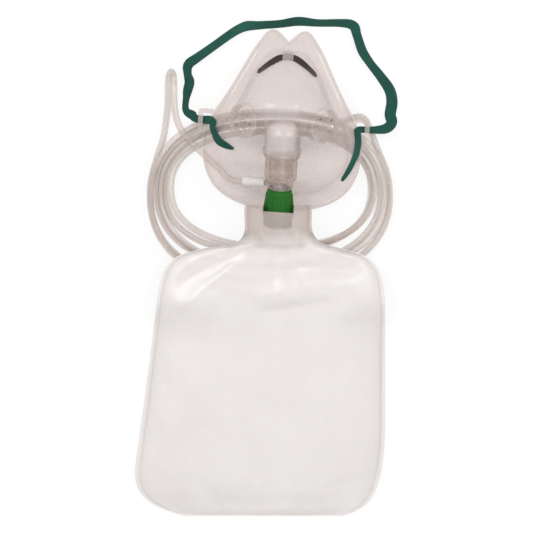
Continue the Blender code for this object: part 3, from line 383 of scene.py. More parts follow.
# %% [markdown]
# ## The supply tubing
# Clear vinyl tubing, 4.8 mm outside, runs from the sleeve on the tee along the mask's
# cheek, stands up in a short loop and drops into an oval coil of about five turns on the
# table, under the mask and the bag. The coil is a spiral: three turns go inwards side by
# side, and two come back outwards on top of them. The two outermost turns spring out
# beside the right ear in a rounded lobe.

# %% Tubing route
TUBE_DIAMETER = 4.8
TUBE_BORE = 3.1
TUBE_FLOOR = TUBE_DIAMETER / 2 + 0.2
SLEEVE_FAR, NIPPLE_Z = 26.6, -22.5
COIL_CENTRE = (4.0, 49.0)
COIL_OUTER, COIL_INNER, COIL_SHIFT = (85.7, 61.5), (68.6, 38.2), (-2.3, 6.0)
COIL_SQUARENESS = 2.3
COIL_LEVELS = (2.5, 7.35)
COIL_FIRST, COIL_LAST = 160.0, 5 * 360.0 + 222.0
TURNS_FLAT, TURNS_IN, TURNS_OUT = 3.0, 3.05, 2.1
LOBE_ANGLE, LOBE_SPREAD, LOBE_ALONG = 42.0, 11.0, (0.05, 0.94)
LOBE_OUT = [(0.0, 14.0), (1.0, 13.8), (1.6, 3.0), (2.4, 0.0)]


def coil_point(degrees):
    """Point of the tube's middle line at an angle that is counted through all turns."""
    turns = (degrees - COIL_FIRST) / 360
    back = max(0.0, 1 - (turns - TURNS_IN) / TURNS_OUT)
    inward = min(turns / TURNS_FLAT, 1.0) if turns < TURNS_IN else back
    up = ease(turns, TURNS_IN - 0.12, TURNS_IN + 0.08)
    off = (degrees - LOBE_ANGLE + 180) % 360 - 180
    lobe = between(LOBE_OUT, turns) * math.exp(-(off / LOBE_SPREAD) ** 2)
    a = math.radians(degrees)
    spot = []
    for k, swing in enumerate((math.cos(a), math.sin(a))):
        half = COIL_OUTER[k] + (COIL_INNER[k] - COIL_OUTER[k]) * inward
        squared = math.copysign(abs(swing) ** (2 / COIL_SQUARENESS), swing)
        spot.append(COIL_CENTRE[k] + COIL_SHIFT[k] * inward + half * squared
                    + LOBE_ALONG[k] * lobe)
    return (*spot, COIL_LEVELS[0] + (COIL_LEVELS[1] - COIL_LEVELS[0]) * up)


SOURCE_MOUTH = Vector((18.0, -24.0, 4.6))
SOURCE_ALONG = Vector((-1, 0.12, 0)).normalized()
SOURCE_REACH = 34.3
SOURCE_END = SOURCE_MOUTH + SOURCE_ALONG * SOURCE_REACH
tube_points = [
    in_tee(-SLEEVE_FAR - 0.3, 0, NIPPLE_Z), in_tee(-SLEEVE_FAR - 7, 0, NIPPLE_Z),
    (-34.5, 69.5, 32.0), (-47.5, 81.5, 29.5), (-57.6, 92.0, 27.5), (-63.0, 103.0, 26.6),
    (-64.6, 115.0, 26.2), (-64.7, 126.0, 25.4), (-65.2, 133.0, 21.6), (-66.7, 136.0, 14.6),
    (-68.3, 133.0, 7.4), (-68.9, 125.0, 3.4), (-69.0, 114.0, TUBE_FLOOR),
    (-70.4, 100.0, TUBE_FLOOR), (-72.6, 88.0, TUBE_FLOOR), (-76.6, 76.0, 2.5),
]
tube_points += [coil_point(d) for d in np.arange(COIL_FIRST + 14, COIL_LAST, 6.0)]
tube_points += [
    (-49.5, -5.4, 6.9), (-42.0, -10.4, 4.6), (-37.2, -12.5, 3.1),
    (-33.5, -13.8, TUBE_FLOOR), (-29.2, -17.0, 3.0), tuple(SOURCE_END + SOURCE_ALONG * 5),
    tuple(SOURCE_END),
]
tube_line = evenly(smooth_line(tube_points, 4), 2.2)

# %% [markdown]
# The tube is a real hollow tube, so that its wall reads as two pale lines with a clear
# bore between them. Its cross section is carried along the line without twisting.

# %% Tubing mesh
TUBE_SIDES = 16


def along(line):
    """Each point with two cross axes, turned as little as possible."""
    line = [Vector(p) for p in line]
    placed, last = [], None
    for i in range(len(line)):
        d = (line[min(i + 1, len(line) - 1)] - line[max(i - 1, 0)]).normalized()
        if last is None:
            side = d.cross(Vector((0, 0, 1))).normalized()
        else:
            side = (last - d * last.dot(d)).normalized()
        last = side
        placed.append((line[i], side, d.cross(side)))
    return placed


def hollow_tube(line, outer, inner, sides):
    """Outer and inner skin of a tube, joined at its two cut ends."""
    sections_out, sections_in = [], []
    for at, side, up in along(line):
        for rows, radius in ((sections_out, outer), (sections_in, inner)):
            rows.append([at + (side * math.cos(a) + up * math.sin(a)) * radius
                         for a in (2 * math.pi * k / sides for k in range(sides))])
    return skin(sections_out + sections_in[::-1], ring=True)


clear_tubing = clear_plastic(
    "clear_tubing", (0.955, 0.933, 0.920), (0.72, 0.655, 0.615), (0.46, 0.40, 0.365),
    0.16, 0.62, 0.9, 0.2, slant=(0.30, 0.95), ripple=0.08, ripple_scale=240.0,
    mottle=0.04, seed=4.0)
tubing = new_piece(
    "supply_tubing",
    new_mesh("supply_tubing", *hollow_tube(tube_line, TUBE_DIAMETER / 2, TUBE_BORE / 2,
                                           TUBE_SIDES)),
    clear_tubing, "tubing", ("oxygen_tube", "tube_coil", "oxygen_tube_end"))
print("tubing faces", len(tubing.data.polygons))

# %% [markdown]
# ## The mask: one moulding of clear vinyl
# The dome is drawn from above: a base outline, an outer edge and two side profiles, one
# for the rim and one for the ridge from nose to chin. They are the CAD's, apart from the
# two peaks at the nose, which follow the photograph a little closer. A low ledge over the
# snout is added here too.

# %% Mask outlines
WALL = 1.4
RIM_CHEEK, RIM_NOSE, RIM_CHIN = 13.5, 1.8, 3.7
DOME_V, DOME_POWER, DOME_ROUNDNESS = 62.0, 3.2, 0.625
LEDGE_RISE, LEAST_FALL = 1.1, 0.36
EDGE = [(0, 1.2), (4.3, -2.6), (8.8, -6.6), (11.5, -7.5), (14.6, -5.7), (19.5, 1),
        (23.4, 7), (30.6, 21), (38.6, 36), (45.2, 47), (50.5, 55), (54.6, 64), (54.4, 76),
        (53, 88), (47, 101), (37.7, 109), (24, 114.5), (0, 118)]
BASE = [(0, 5.4), (7.5, 6), (14, 8.8), (20, 17), (26, 29), (31.5, 41), (37.5, 50),
        (43.5, 58), (46.5, 69), (45, 84), (39, 94.5), (29, 102), (15, 106.5), (0, 108.5)]
RIM = [(-8, RIM_NOSE), (4, RIM_NOSE + 0.6), (20, RIM_NOSE + 4.6), (42, RIM_CHEEK),
       (60, RIM_CHEEK), (82, RIM_CHEEK), (96, RIM_CHEEK - 3.6), (108, RIM_CHIN + 1.2),
       (120, RIM_CHIN)]
RIDGE = [(6, 6), (12, 12), (20, 23), (30, 37), (38, 48), (43, 52.5), (50, 52), (56, 48.5),
         (62, 42.5), (68, 34), (74, 26), (80, 22.4), (86, 20.6), (92, 18.9), (98, 16.8),
         (103, 14), (108, 11)]
SPOKES = 144


def radii(half):
    """Distance of a closed outline from the dome's middle, along each spoke."""
    loop = half + [(-u, v) for u, v in half[1:-1]][::-1]
    spare, steps = 3, 16
    line = smooth_line(loop[-spare:] + loop + loop[:spare + 1], steps)
    line = [(p[0], p[1] - DOME_V) for p in line[spare * steps:-spare * steps]]
    out = []
    for i in range(SPOKES):
        a = 2 * math.pi * i / SPOKES
        dx, dy = math.sin(a), -math.cos(a)
        best = 0.0
        for (ax, ay), (bx, by) in zip(line, line[1:]):
            ex, ey = bx - ax, by - ay
            cross = dx * ey - dy * ex
            if abs(cross) > 1e-9:
                r = (ax * ey - ay * ex) / cross
                s = (ax * dy - ay * dx) / cross
                if r > 0 and -1e-6 <= s <= 1 + 1e-6:
                    best = max(best, r)
        out.append(best)
    return out


BASE_RADII, EDGE_RADII = radii(BASE), radii(EDGE)


def base_radius(angle):
    x = (angle % (2 * math.pi)) / (2 * math.pi) * SPOKES
    i, f = int(x) % SPOKES, x - int(x)
    return BASE_RADII[i] * (1 - f) + BASE_RADII[(i + 1) % SPOKES] * f


def fall(t):
    return max(0.0, 1 - min(t, 1.0) ** DOME_POWER) ** DOME_ROUNDNESS


def dome(u, v):
    """Height of the dome's outer face over the table."""
    dv = v - DOME_V
    t = math.hypot(u, dv) / base_radius(math.atan2(u, -dv))
    on_axis = abs(dv) / base_radius(0.0 if dv < 0 else math.pi)
    rim = between(RIM, v)
    rise = (between(RIDGE, v) - rim) / max(fall(on_axis), LEAST_FALL)
    ledge = ease(v, 40.6, 43.0) * (1 - ease(v, 50, 60)) * (1 - ease(abs(u + 7), 13, 21))
    return rim + max(rise, 0.0) * fall(t) + LEDGE_RISE * ledge


def dome_normal(u, v, d=0.6):
    gu = (dome(u + d, v) - dome(u - d, v)) / (2 * d)
    gv = (dome(u, v + d) - dome(u, v - d)) / (2 * d)
    return Vector((-gu, gv, 1.0)).normalized()


def dome_point(u, v, out=0.0):
    return Vector((u, -v, dome(u, v))) + dome_normal(u, v) * out


print("dome top", round(dome(0, 46), 1), "mm, cheek rim", RIM_CHEEK, "mm")

# %% [markdown]
# A polar net of points lies on the same surface as the CAD solid's, and is much finer.
# Solidify gives it its wall.

# %% Mask net
RINGS = [0.035 * k for k in range(1, 28)] + [0.965, 0.985]
FLANGE = [(0.04, 0.05), (0.12, 0.0), (0.3, -0.3), (0.5, -0.4), (0.7, -0.3), (0.85, 0.1),
          (0.93, 0.5), (0.98, 0.9), (1.0, 1.25)]


def ring(distances, height):
    """A point on each spoke at its distance from the middle, at the height found there."""
    row = []
    for i, r in enumerate(distances):
        a = 2 * math.pi * i / SPOKES
        u, v = r * math.sin(a), DOME_V - r * math.cos(a)
        row.append((u, -v, height(u, v)))
    return row


def mask_net(rings, flange, lower=0.0, floor=None):
    """Rings of points on the dome, then on its flange, and a floor where one is given."""
    rows = [ring([r * t for r in BASE_RADII], lambda u, v: dome(u, v) - lower)
            for t in rings]
    rows += [ring([base * (1 - share) + edge * share
                   for base, edge in zip(BASE_RADII, EDGE_RADII)],
                  lambda u, v: between(RIM, v) + rise) for share, rise in flange]
    if floor is not None:
        rows.append([(x, y, floor) for x, y, z in rows[-1]])
    points = [(0.0, -DOME_V, dome(0.0, DOME_V) - lower)] + [p for row in rows for p in row]
    n = SPOKES
    pairs = [(i, (i + 1) % n) for i in range(n)]
    faces = [(0, 1 + i, 1 + j) for i, j in pairs]
    for k in range(len(rows) - 1):
        a = 1 + k * n
        faces += [(a + i, a + n + i, a + n + j, a + j) for i, j in pairs]
    if floor is not None:
        faces.append(tuple(range(1 + (len(rows) - 1) * n, 1 + len(rows) * n)))
    return points, faces


mask = new_piece("face_mask", new_mesh("face_mask", *mask_net(RINGS, FLANGE)))
if sum(p.normal.z for p in mask.data.polygons) < 0:
    mask.data.flip_normals()
wall = mask.modifiers.new("wall", "SOLIDIFY")
wall.thickness, wall.offset = WALL * MM, -1.0
print("mask net", len(mask.data.polygons), "faces")

# %% [markdown]
# ## Tools that join and cut
# The socket for the tee, the two exhalation ports, the ears for the strap and the bridge
# over the nose clip are moulded in one with the shell. Each is a plain solid that is
# joined to the shell or cut from it by an exact Boolean, and is then thrown away.


# %% Boolean helpers
def turned_points(profile, steps):
    """A profile of (radius, z) turned about Z, with flat ends."""
    turns = [2 * math.pi * k / steps for k in range(steps)]
    return skin([[(r * math.cos(a), r * math.sin(a), z) for a in turns]
                 for r, z in profile])


tools = []


def tool(name, shape, matrix=None):
    """A solid that only joins or cuts another piece."""
    made = new_piece(name, new_mesh(name, *shape))
    if matrix is not None:
        move_mm(made.data, matrix)
    tools.append(made)
    return made


def discard_tools():
    while tools:
        bpy.data.objects.remove(tools.pop())


def cut(piece, other, kind="DIFFERENCE"):
    step = piece.modifiers.new(other.name, "BOOLEAN")
    step.operation = kind
    step.solver = "EXACT"
    step.object = other
    apply_steps(piece)
    print(piece.name, kind.lower(), other.name, len(piece.data.polygons))


def upright(loop, low, high):
    """A plan outline made solid from one height to another."""
    return skin([[(x, y, z) for x, y in loop] for z in (low, high)])


def rounded_plan(middle_x, middle_y, width, length, corner, steps):
    """A rectangle with its own corner radius on the left (-1) and on the right (1)."""
    loop = []
    for cx, cy, start in ((1, 1, 0), (-1, 1, 90), (-1, -1, 180), (1, -1, 270)):
        r = corner[cx]
        for k in range(steps + 1):
            a = math.radians(start + 90 * k / steps)
            loop.append((middle_x + cx * (width / 2 - r) + r * math.cos(a),
                         middle_y + cy * (length / 2 - r) + r * math.sin(a)))
    return loop


# %% [markdown]
# ## The snout
# Over the chin the shell runs out into a short tube with a round roof and a bead at its
# mouth. It is a turned solid along the tee's line, less what would stand inside the
# dome. Its bore is cut last of all, when nothing more can fill it.

# %% Snout
SNOUT_BORE, SNOUT_RADIUS, ROOF_AT = 11.3, 12.6, 13.0
SNOUT_BEAD = [(0, 3.9), (0.8, 3.1), (0.8, 0.2), (0.6, 0)]
IN_PLAN = at_socket(Matrix.Identity(4))


def round_roof(radius, steps):
    """Profile of a quarter circle from the axis out to the tube's wall."""
    turns = [math.pi / 2 * (1 - k / steps) for k in range(1, steps + 1)]
    return [(radius * math.cos(a), ROOF_AT + radius * math.sin(a)) for a in turns]


cavity = tool("cavity", mask_net(RINGS, [], lower=WALL * 0.7, floor=-10.0))
bead = [(SNOUT_RADIUS + out, high) for out, high in SNOUT_BEAD]
snout = tool("snout", turned_points(round_roof(SNOUT_RADIUS, 10) + bead, 64), IN_PLAN)
cut(snout, cavity)
cut(mask, snout, "UNION")

# %% [markdown]
# ## The ears
# A flat tab stands out at each cheek, rounded on its free side, to carry the strap.

# %% Ears
EAR_U, EAR_V, EAR_SIZE, EAR_THICKNESS = 54.85, 58.0, (10.7, 16.0), 2.1
EAR_TOP, EAR_CORNER, EAR_ROOT = RIM_CHEEK + 0.35, 2.6, 0.6
for side in (-1, 1):
    outline = rounded_plan(side * EAR_U, -EAR_V, *EAR_SIZE,
                           {side: EAR_CORNER, -side: EAR_ROOT}, 6)
    cut(mask, tool("ear_%d" % side, upright(outline, EAR_TOP - EAR_THICKNESS, EAR_TOP)),
        "UNION")

# %% [markdown]
# ## The bridge over the nose clip
# A bent bar is joined on across the nose, and a tunnel as wide as the clip is cut
# through it, so that the strip can be slid in from the side.

# %% Bridge
CLIP_WIDTH, CLIP_THICKNESS, GAP = 6.2, 0.5, 0.3
CLIP_ROWS = [(0.0, 10.5), (5.8, 12.0), (12.8, 16.6), (20.6, 23.0)]
TUNNEL_ROOF = GAP + CLIP_THICKNESS + GAP


def clip_v(u):
    return between(CLIP_ROWS, abs(u))


def clip_ahead(u, d):
    """Direction of the clip's line on the dome, read over a short stretch."""
    return dome_point(u + d, clip_v(u + d)) - dome_point(u - d, clip_v(u - d))


def strip_over_dome(half_length, width, low, high, count):
    """A bent bar across the nose, along the clip's line, ruled in one direction."""
    rise = dome_point(0, clip_v(0) + 2.5) - dome_point(0, clip_v(0) - 2.5)
    across = Vector((0, rise.y, rise.z)).normalized()
    sections = []
    for k in range(count + 1):
        u = -half_length + 2 * half_length * k / count
        normal = clip_ahead(u, 1.5).cross(across).normalized()
        normal *= math.copysign(1.0, normal.z)
        at, half = dome_point(u, clip_v(u)), across * (width / 2)
        sections.append([at - half + normal * low, at + half + normal * low,
                         at + half + normal * high, at - half + normal * high])
    return skin(sections)


cut(mask, tool("bridge", strip_over_dome(3.7, CLIP_WIDTH + 2.8, -WALL * 0.6,
                                         TUNNEL_ROOF + 1.1, 6)), "UNION")
cut(mask, tool("tunnel", strip_over_dome(6.7, CLIP_WIDTH + 0.6, 0.12, TUNNEL_ROOF, 10)))

# %% [markdown]
# ## The exhalation ports
# Each port is a shallow cup with a perforated plate, set square to the cheek. The shell
# is cut out under it, and the cup is joined in its place.

# %% Ports
PORT_U, PORT_V, PORT_DEPTH = 28.0, 57.0, -14.0
CUP = [(11.6, 2.0), (12.0, 1.6), (12.0, PORT_DEPTH), (10.6, PORT_DEPTH), (10.6, 0.6)]
PLUG_RADIUS, HOLES, HOLE_CIRCLE, HOLE, MIDDLE_HOLE = 11.44, 8, 6.6, 1.5, 1.1


def standing(u, v, spread):
    """Matrix that stands Z along the dome's normal at a point of the mask."""
    turn = dome_normal(u, v, spread).to_track_quat("Z", "Y").to_matrix().to_4x4()
    return Matrix.Translation(dome_point(u, v)) @ turn


def hole_pins():
    """One pin in the middle and a ring of pins round it."""
    turns = [2 * math.pi * (k + 0.3) / HOLES for k in range(HOLES)]
    spots = [(0.0, 0.0, MIDDLE_HOLE)] + [
        (HOLE_CIRCLE * math.cos(a), HOLE_CIRCLE * math.sin(a), HOLE) for a in turns]
    points, faces = [], []
    for x, y, r in spots:
        pin, sides = turned_points([(r, 3.5), (r, -1.5)], 20)
        faces += [tuple(i + len(points) for i in f) for f in sides]
        points += [(px + x, py + y, pz) for px, py, pz in pin]
    return points, faces


for side in (-1, 1):
    at = standing(side * PORT_U, PORT_V, 6.0)
    cup = tool("cup_%d" % side, turned_points(CUP, 56), at)
    cut(cup, tool("holes_%d" % side, hole_pins(), at))
    cut(cup, cavity)
    plug = turned_points([(PLUG_RADIUS, 10.0), (PLUG_RADIUS, PORT_DEPTH)], 56)
    cut(mask, tool("plug_%d" % side, plug, at))
    cut(mask, cup, "UNION")

# %% [markdown]
# ## The slots and the bore
# The strap's slots and the bore for the tee go through everything, so they are cut last.
# Then the tools are thrown away and the mask is set in its place on the table.

# %% Slots and bore
SLOT_U, SLOT_SIZE, SLOT_CORNER = 54.0, (5.6, 9.2), 1.0
for side in (-1, 1):
    outline = rounded_plan(side * SLOT_U, -EAR_V, *SLOT_SIZE,
                           {-1: SLOT_CORNER, 1: SLOT_CORNER}, 3)
    cut(mask, tool("slot_%d" % side, upright(outline, 8.0, 18.0)))
bore = round_roof(SNOUT_BORE, 8) + [(SNOUT_BORE, -6.0)]
cut(mask, tool("bore", turned_points(bore, 64), IN_PLAN))
discard_tools()
move_mm(mask.data, MASK)
smooth(mask.data, 38)

# %% [markdown]
# ## The mask's finish
# The vinyl is clear and faintly pink. Light is painted on the roof of the socket and on
# its shoulder: both are made paler and less clear than the rest, the roof as lit from
# above, the shoulder as a painted highlight band.

# %% Mask finish
# painted light on the socket's roof and shoulder: area in plan (m), how much less clear
SNOUT_PAINTED_LIGHT = [((-0.0008, 0.0202, 0.0796, 0.1004), 0.20),
              ((-0.0015, 0.0222, 0.1022, 0.1102), 0.05)]
mask_vinyl = clear_plastic(
    "mask_vinyl", (0.905, 0.868, 0.855), (0.74, 0.665, 0.64), (0.56, 0.50, 0.48),
    0.30, 0.60, 0.7, 0.24, slant=(0.50, 0.97), ripple=0.05, ripple_scale=60.0, mottle=0.05,
    mottle_scale=75.0, seed=2.0, pale=SNOUT_PAINTED_LIGHT)
mask.data.materials.append(mask_vinyl)
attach(mask, "root")
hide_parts("mask_shell")
print("mask faces", len(mask.data.polygons))

# %% [markdown]
# ## The reservoir bag
# The bag is two sheets of milky film welded along their edges. Partly filled, it lies
# like a flat pillow, with a narrow welded band outside the seam. Its outline and heights
# come from the same cross sections as the CAD solid, smoothed lengthwise. Its wrinkles
# are soft folds listed where the photograph has them, because a cloth solver
# would put them somewhere else.

# %% Bag sections
BAG_REST, BAG_SEAM = 10.3, 1.0
NECK, WELD_FROM, WING_FROM = (18.0, 25.0), 0.965, 0.92
# y, left, right, low, high
BAG = [
    (42.7, -15.4, 31.8, 14.4, 40.2), (36, -15.4, 31.8, 12, 38.4),
    (29, -15.2, 31.6, 10.8, 36.2), (22, -16, 33, BAG_REST, 32.4),
    (16.5, -21, 38.5, BAG_REST, 28.6), (11.5, -48, 56, BAG_REST, 24.8),
    (5.5, -64.5, 71.5, BAG_REST, 23.6), (-3, -71.5, 78.5, BAG_REST, 23.2),
    (-13, -75, 81.6, BAG_REST, 23), (-24, -76.6, 83, BAG_REST, 22.6),
    (-33, -77.6, 83, BAG_REST - 3.6, 21), (-42, -78.8, 83, 2.2, 18.6),
    (-52, -80, 83, 0.1, 16.6), (-90, -85, 83, 0.1, 15), (-125, -89.6, 82.6, 0.1, 13),
    (-145, -92.1, 80, 0.1, 10.6), (-156.5, -89.6, 76.6, 0.1, 8),
    (-165, -82, 71.5, 0.1, 5.2), (-171, -70, 63.5, 0.1, 3), (-174.55, -58, 54, 0.1, 1),
]
# one end and the other (x, y), width of the fold, height (down where negative)
FOLDS = [
    ((-28, 8), (-62, -14), 5.0, -2.2), ((-22, 2), (-56, -26), 3.6, 1.5),
    ((-14, 14), (-40, -8), 3.0, -1.4), ((20, 0), (64, -4), 4.2, -2.0),
    ((30, 12), (68, 6), 3.4, 1.8), ((-8, -22), (58, -12), 7.0, 2.2),
    ((-2, -34), (50, -26), 4.6, -1.5), ((-66, -30), (-30, -20), 5.0, 1.3),
    ((8, 20), (4, -18), 3.4, -1.6), ((16, 16), (26, -16), 3.0, 1.3),
    ((-72, -60), (-46, -92), 9.0, 0.7), ((66, -50), (44, -98), 10.0, 0.7),
    ((-60, -140), (-20, -156), 9.0, 0.8), ((20, -158), (62, -138), 9.0, 0.8),
]


def fold_at(x, y):
    """Height that all folds together give the top sheet at a point."""
    total = 0.0
    for (ax, ay), (bx, by), width, height in FOLDS:
        dx, dy = bx - ax, by - ay
        length = math.hypot(dx, dy)
        t = ((x - ax) * dx + (y - ay) * dy) / length ** 2
        off = abs((x - ax) * dy - (y - ay) * dx) / length
        ends = ease(t, -0.15, 0.2) * (1 - ease(t, 0.75, 1.2))
        total += height * ends * math.exp(-(off / width) ** 2)
    return total


def bag_film(rows, across):
    """Upper and lower sheet of the bag as closed cross sections."""
    sections = []
    for y, left, right, low, high in rows:
        middle, half = (left + right) / 2, (right - left) / 2
        upper, lower = [], []
        neck = ease(y, *NECK)
        for i in range(across + 1):
            f = -math.cos(math.pi * i / across)
            x = middle + half * f
            seam = low + min(BAG_SEAM, high - low)
            crown = max(0.0, 1 - (abs(f) / WELD_FROM) ** 2.6) ** 0.5
            body = seam + (high - seam) * crown
            centre = (low + high) / 2
            bulge = max(0.0, 1 - (abs(f) / WING_FROM) ** 2.2) ** 0.7
            rise = BAG_SEAM / 2 + ((high - low) / 2 - BAG_SEAM / 2) * bulge
            inside = ease(1 - abs(f), 0.03, 0.2)
            press = fold_at(x, y) + 0.9 * noise.noise(Vector((x / 21, y / 27, 1.3)))
            press += 0.35 * noise.noise(Vector((x / 7, y / 9, 4.1)))
            body += inside * press * (1 - neck)
            upper.append((x, y, body * (1 - neck) + (centre + rise) * neck))
            lower.append((x, y, low * (1 - neck) + (centre - rise) * neck))
        sections.append(lower + upper[::-1])
    return skin(sections)


bag_rows = evenly(smooth_line(BAG, 8), 1.9)
bag_rows[:, 3] = np.maximum(bag_rows[:, 3], 0.05)
bag_mesh = new_mesh("reservoir_bag_film", *bag_film(bag_rows, 72), sharp=60)
bag = new_piece("reservoir_bag_film", bag_mesh)

# %% [markdown]
# The collar's foot stands inside the neck, so its room is turned out of the bag along the
# tee's line. The front sheet starts lower than the back one, which a plain notch gives.

# %% Mouth of the bag
MOUTH = [(11.5, -15.0), (11.5, -45.3), (10.3, -45.5), (10.3, -53.3)]
NOTCH_LOW, NOTCH_HIGH, NOTCH_HALF, NOTCH_FLOOR, NOTCH_ROOF = 119.4, 89.4, 10.7, 27.1, 57.0
cut(bag, tool("bag_mouth", turned_points(MOUTH, 48), TEE))
corners = [(-NOTCH_HALF, NOTCH_LOW), (NOTCH_HALF, NOTCH_LOW), (NOTCH_HALF, NOTCH_HIGH),
           (-NOTCH_HALF, NOTCH_HIGH)]
cut(bag, tool("neck_notch", skin([[in_mask(u, v, z) for u, v in corners]
                                  for z in (NOTCH_FLOOR, NOTCH_ROOF)])))
discard_tools()
smooth(bag.data, 60)

# %% [markdown]
# The film is milky over the body of the bag, and clearer and browner where the neck is
# gathered. Slow clouds keep both from looking even.


# %% Film finish
def milky_film():
    f = Finish("milky_film")
    y = f.node("SeparateXYZ", Vector=f.place()).outputs["Y"]
    wander = f.clouds(60.0, 2.0, 0.5, seed=21.0)
    neck = f.span(f.maths("ADD", y, f.span(wander, 0.3, 0.7, -0.006, 0.006)),
                  0.012, 0.027, 0.0, 1.0)
    facing = f.node("LayerWeight", Blend=0.35).outputs["Facing"]
    patches = f.clouds(22.0, 4.0, 0.55, seed=7.0)
    cover = f.maths("ADD", f.span(facing, 0.3, 0.95, 0.78, 0.90),
                    f.span(patches, 0.3, 0.7, -0.04, 0.04))
    cover = f.maths("SUBTRACT", cover, f.maths("MULTIPLY", neck, 0.38))
    milk = f.blend(f.span(facing, 0.35, 0.95, 0.0, 1.0), (0.835, 0.805, 0.785),
                   (0.58, 0.53, 0.51))
    brown = f.blend(f.span(facing, 0.2, 0.9, 0.0, 1.0), (0.70, 0.62, 0.575),
                    (0.44, 0.375, 0.34))
    normal = f.bump(f.clouds(45.0, 2.0, 0.5, seed=10.0), 0.12, 0.001)
    tint = f.blend(neck, (0.93, 0.905, 0.89), (0.84, 0.79, 0.755))
    return f.thin_wall(cover, tint, f.blend(neck, milk, brown), normal, gloss=0.9,
                       shine_roughness=0.34, roughness=0.38, specular=0.3)


bag.data.materials.append(milky_film())
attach(bag, "root")
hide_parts("reservoir_bag")
print("bag faces", len(bag.data.polygons))

# %% [markdown]
# ## The head strap
# A flat woven elastic, 7 mm wide, lies on the table round the nose end. At each ear it
# goes under the bar, up through the slot, and its tail lies on the cheek. Lying slack it
# twists and kinks, so each point of the route also has an angle that turns the band
# about its own line. The tails follow the dome's face and are lifted until they clear it.
# The CAD lays the band flat on the table, and its right tail is about 9 mm shorter.

# %% Strap
STRAP_WIDTH, STRAP_THICKNESS = 7.0, 0.9
STRAP_OVER, STRAP_UNDER, TAIL_LIFT = 14.9, 10.95, 1.25


def on_cheek(u, v):
    point = dome_point(u, v) + dome_normal(u, v, STRAP_WIDTH / 2) * TAIL_LIFT
    return in_mask(point.x, -point.y, point.z)


# x, y, z, turn of the band in degrees, share of the full width
strap_rows = [
    (*on_cheek(-33.6, 76.4), 0, 0.3), (*on_cheek(-38.4, 74.6), 0, 0.7),
    (*on_cheek(-42.9, 72.2), 0, 0.85), (*on_cheek(-46.2, 67.6), 0, 0.7),
    (*on_cheek(-48.4, 63.0), 0, 0.66), (*in_mask(-49.8, 59.4, STRAP_OVER), 0, 0.8),
    (*in_mask(-51.8, 58, STRAP_OVER), 0, 0.85), (*in_mask(-56.2, 58, STRAP_UNDER), 0, 0.8),
    (*in_mask(-62.2, 57.4, STRAP_UNDER), 0, 0.8), (-51.2, 105.0, 10.9, 4, 0.9),
    (-55.6, 108.2, 9.4, 34, 0.95), (-56.7, 112.6, 6.8, 52, 0.95),
    (-56.2, 117.2, 4.4, 50, 1),
    (-55.3, 122.4, 2.6, 24, 1), (-53.9, 128.4, 1.6, 6, 1), (-55.2, 134.0, 2.6, 38, 1),
    (-55.0, 140.4, 1.8, 12, 1), (-47.4, 146.6, 2.2, -24, 1), (-34.0, 156.0, 2.4, -34, 1),
    (-20.6, 165.2, 2.2, -26, 1), (-4.0, 168.6, 2.6, 36, 1), (10, 169.6, 2.6, 40, 1),
    (22.0, 171.2, 2.2, 26, 1), (36, 170.2, 2.6, 44, 1), (50.0, 170.1, 2.6, 40, 1),
    (60.4, 168.4, 1.6, 10, 1), (63.6, 160.6, 2.2, -26, 1), (66.8, 151.0, 2.0, -20, 1),
    (72.6, 142.0, 2.4, -34, 1), (79.6, 133.0, 2.0, -20, 1), (87.0, 121.0, 1.4, 4, 1.1),
    (87.8, 114.0, 1.3, 0, 1.14), (86.6, 106.4, 1.4, 0, 1.14), (87.6, 100.2, 3.6, 10, 1.1),
    (83.6, 96.2, 7.6, 4, 1.0), (*in_mask(62.2, 57.8, STRAP_UNDER), 0, 0.72),
    (*in_mask(56.2, 58, STRAP_UNDER), 0, 0.66), (*in_mask(51.8, 58.6, STRAP_OVER), 0, 0.66),
    (*in_mask(52.2, 62.0, STRAP_OVER), 0, 0.66), (*on_cheek(52.8, 67.0), 0, 0.66),
    (*on_cheek(52.0, 74.0), 0, 0.62), (*on_cheek(49.6, 81.6), 0, 0.56),
    (*on_cheek(46.4, 88.2), 0, 0.5), (*on_cheek(43.0, 94.2), 0, 0.36),
]


def strap_stations(rows, spacing):
    """The same rows at even distances along the band."""
    dense = np.array(smooth_line(rows, 10))
    run = np.linalg.norm(np.diff(dense[:, :3], axis=0), axis=1)
    run = np.concatenate([[0], np.cumsum(run)])
    want = np.linspace(0, run[-1], int(run[-1] / spacing) + 1)
    return np.stack([np.interp(want, run, dense[:, k]) for k in range(5)], axis=1), run[-1]


def over_mask(point):
    back = MASK.inverted() @ Vector(point)
    return back.z - dome(back.x, -back.y)


TABLE_END, CLEARANCE, LIFT_STEP, CUPPING = 14, 0.85, 0.1, 0.25
# one side of the band's rounded section: share of half the width, share of half the height
HALF_SECTION = ((-0.97, -0.7), (-0.85, -1), (-0.3, -1), (0.3, -1), (0.85, -1), (0.97, -0.7))
BAND_SECTION = ((-1, 0), *HALF_SECTION, (1, 0), *((-f, -g) for f, g in HALF_SECTION))


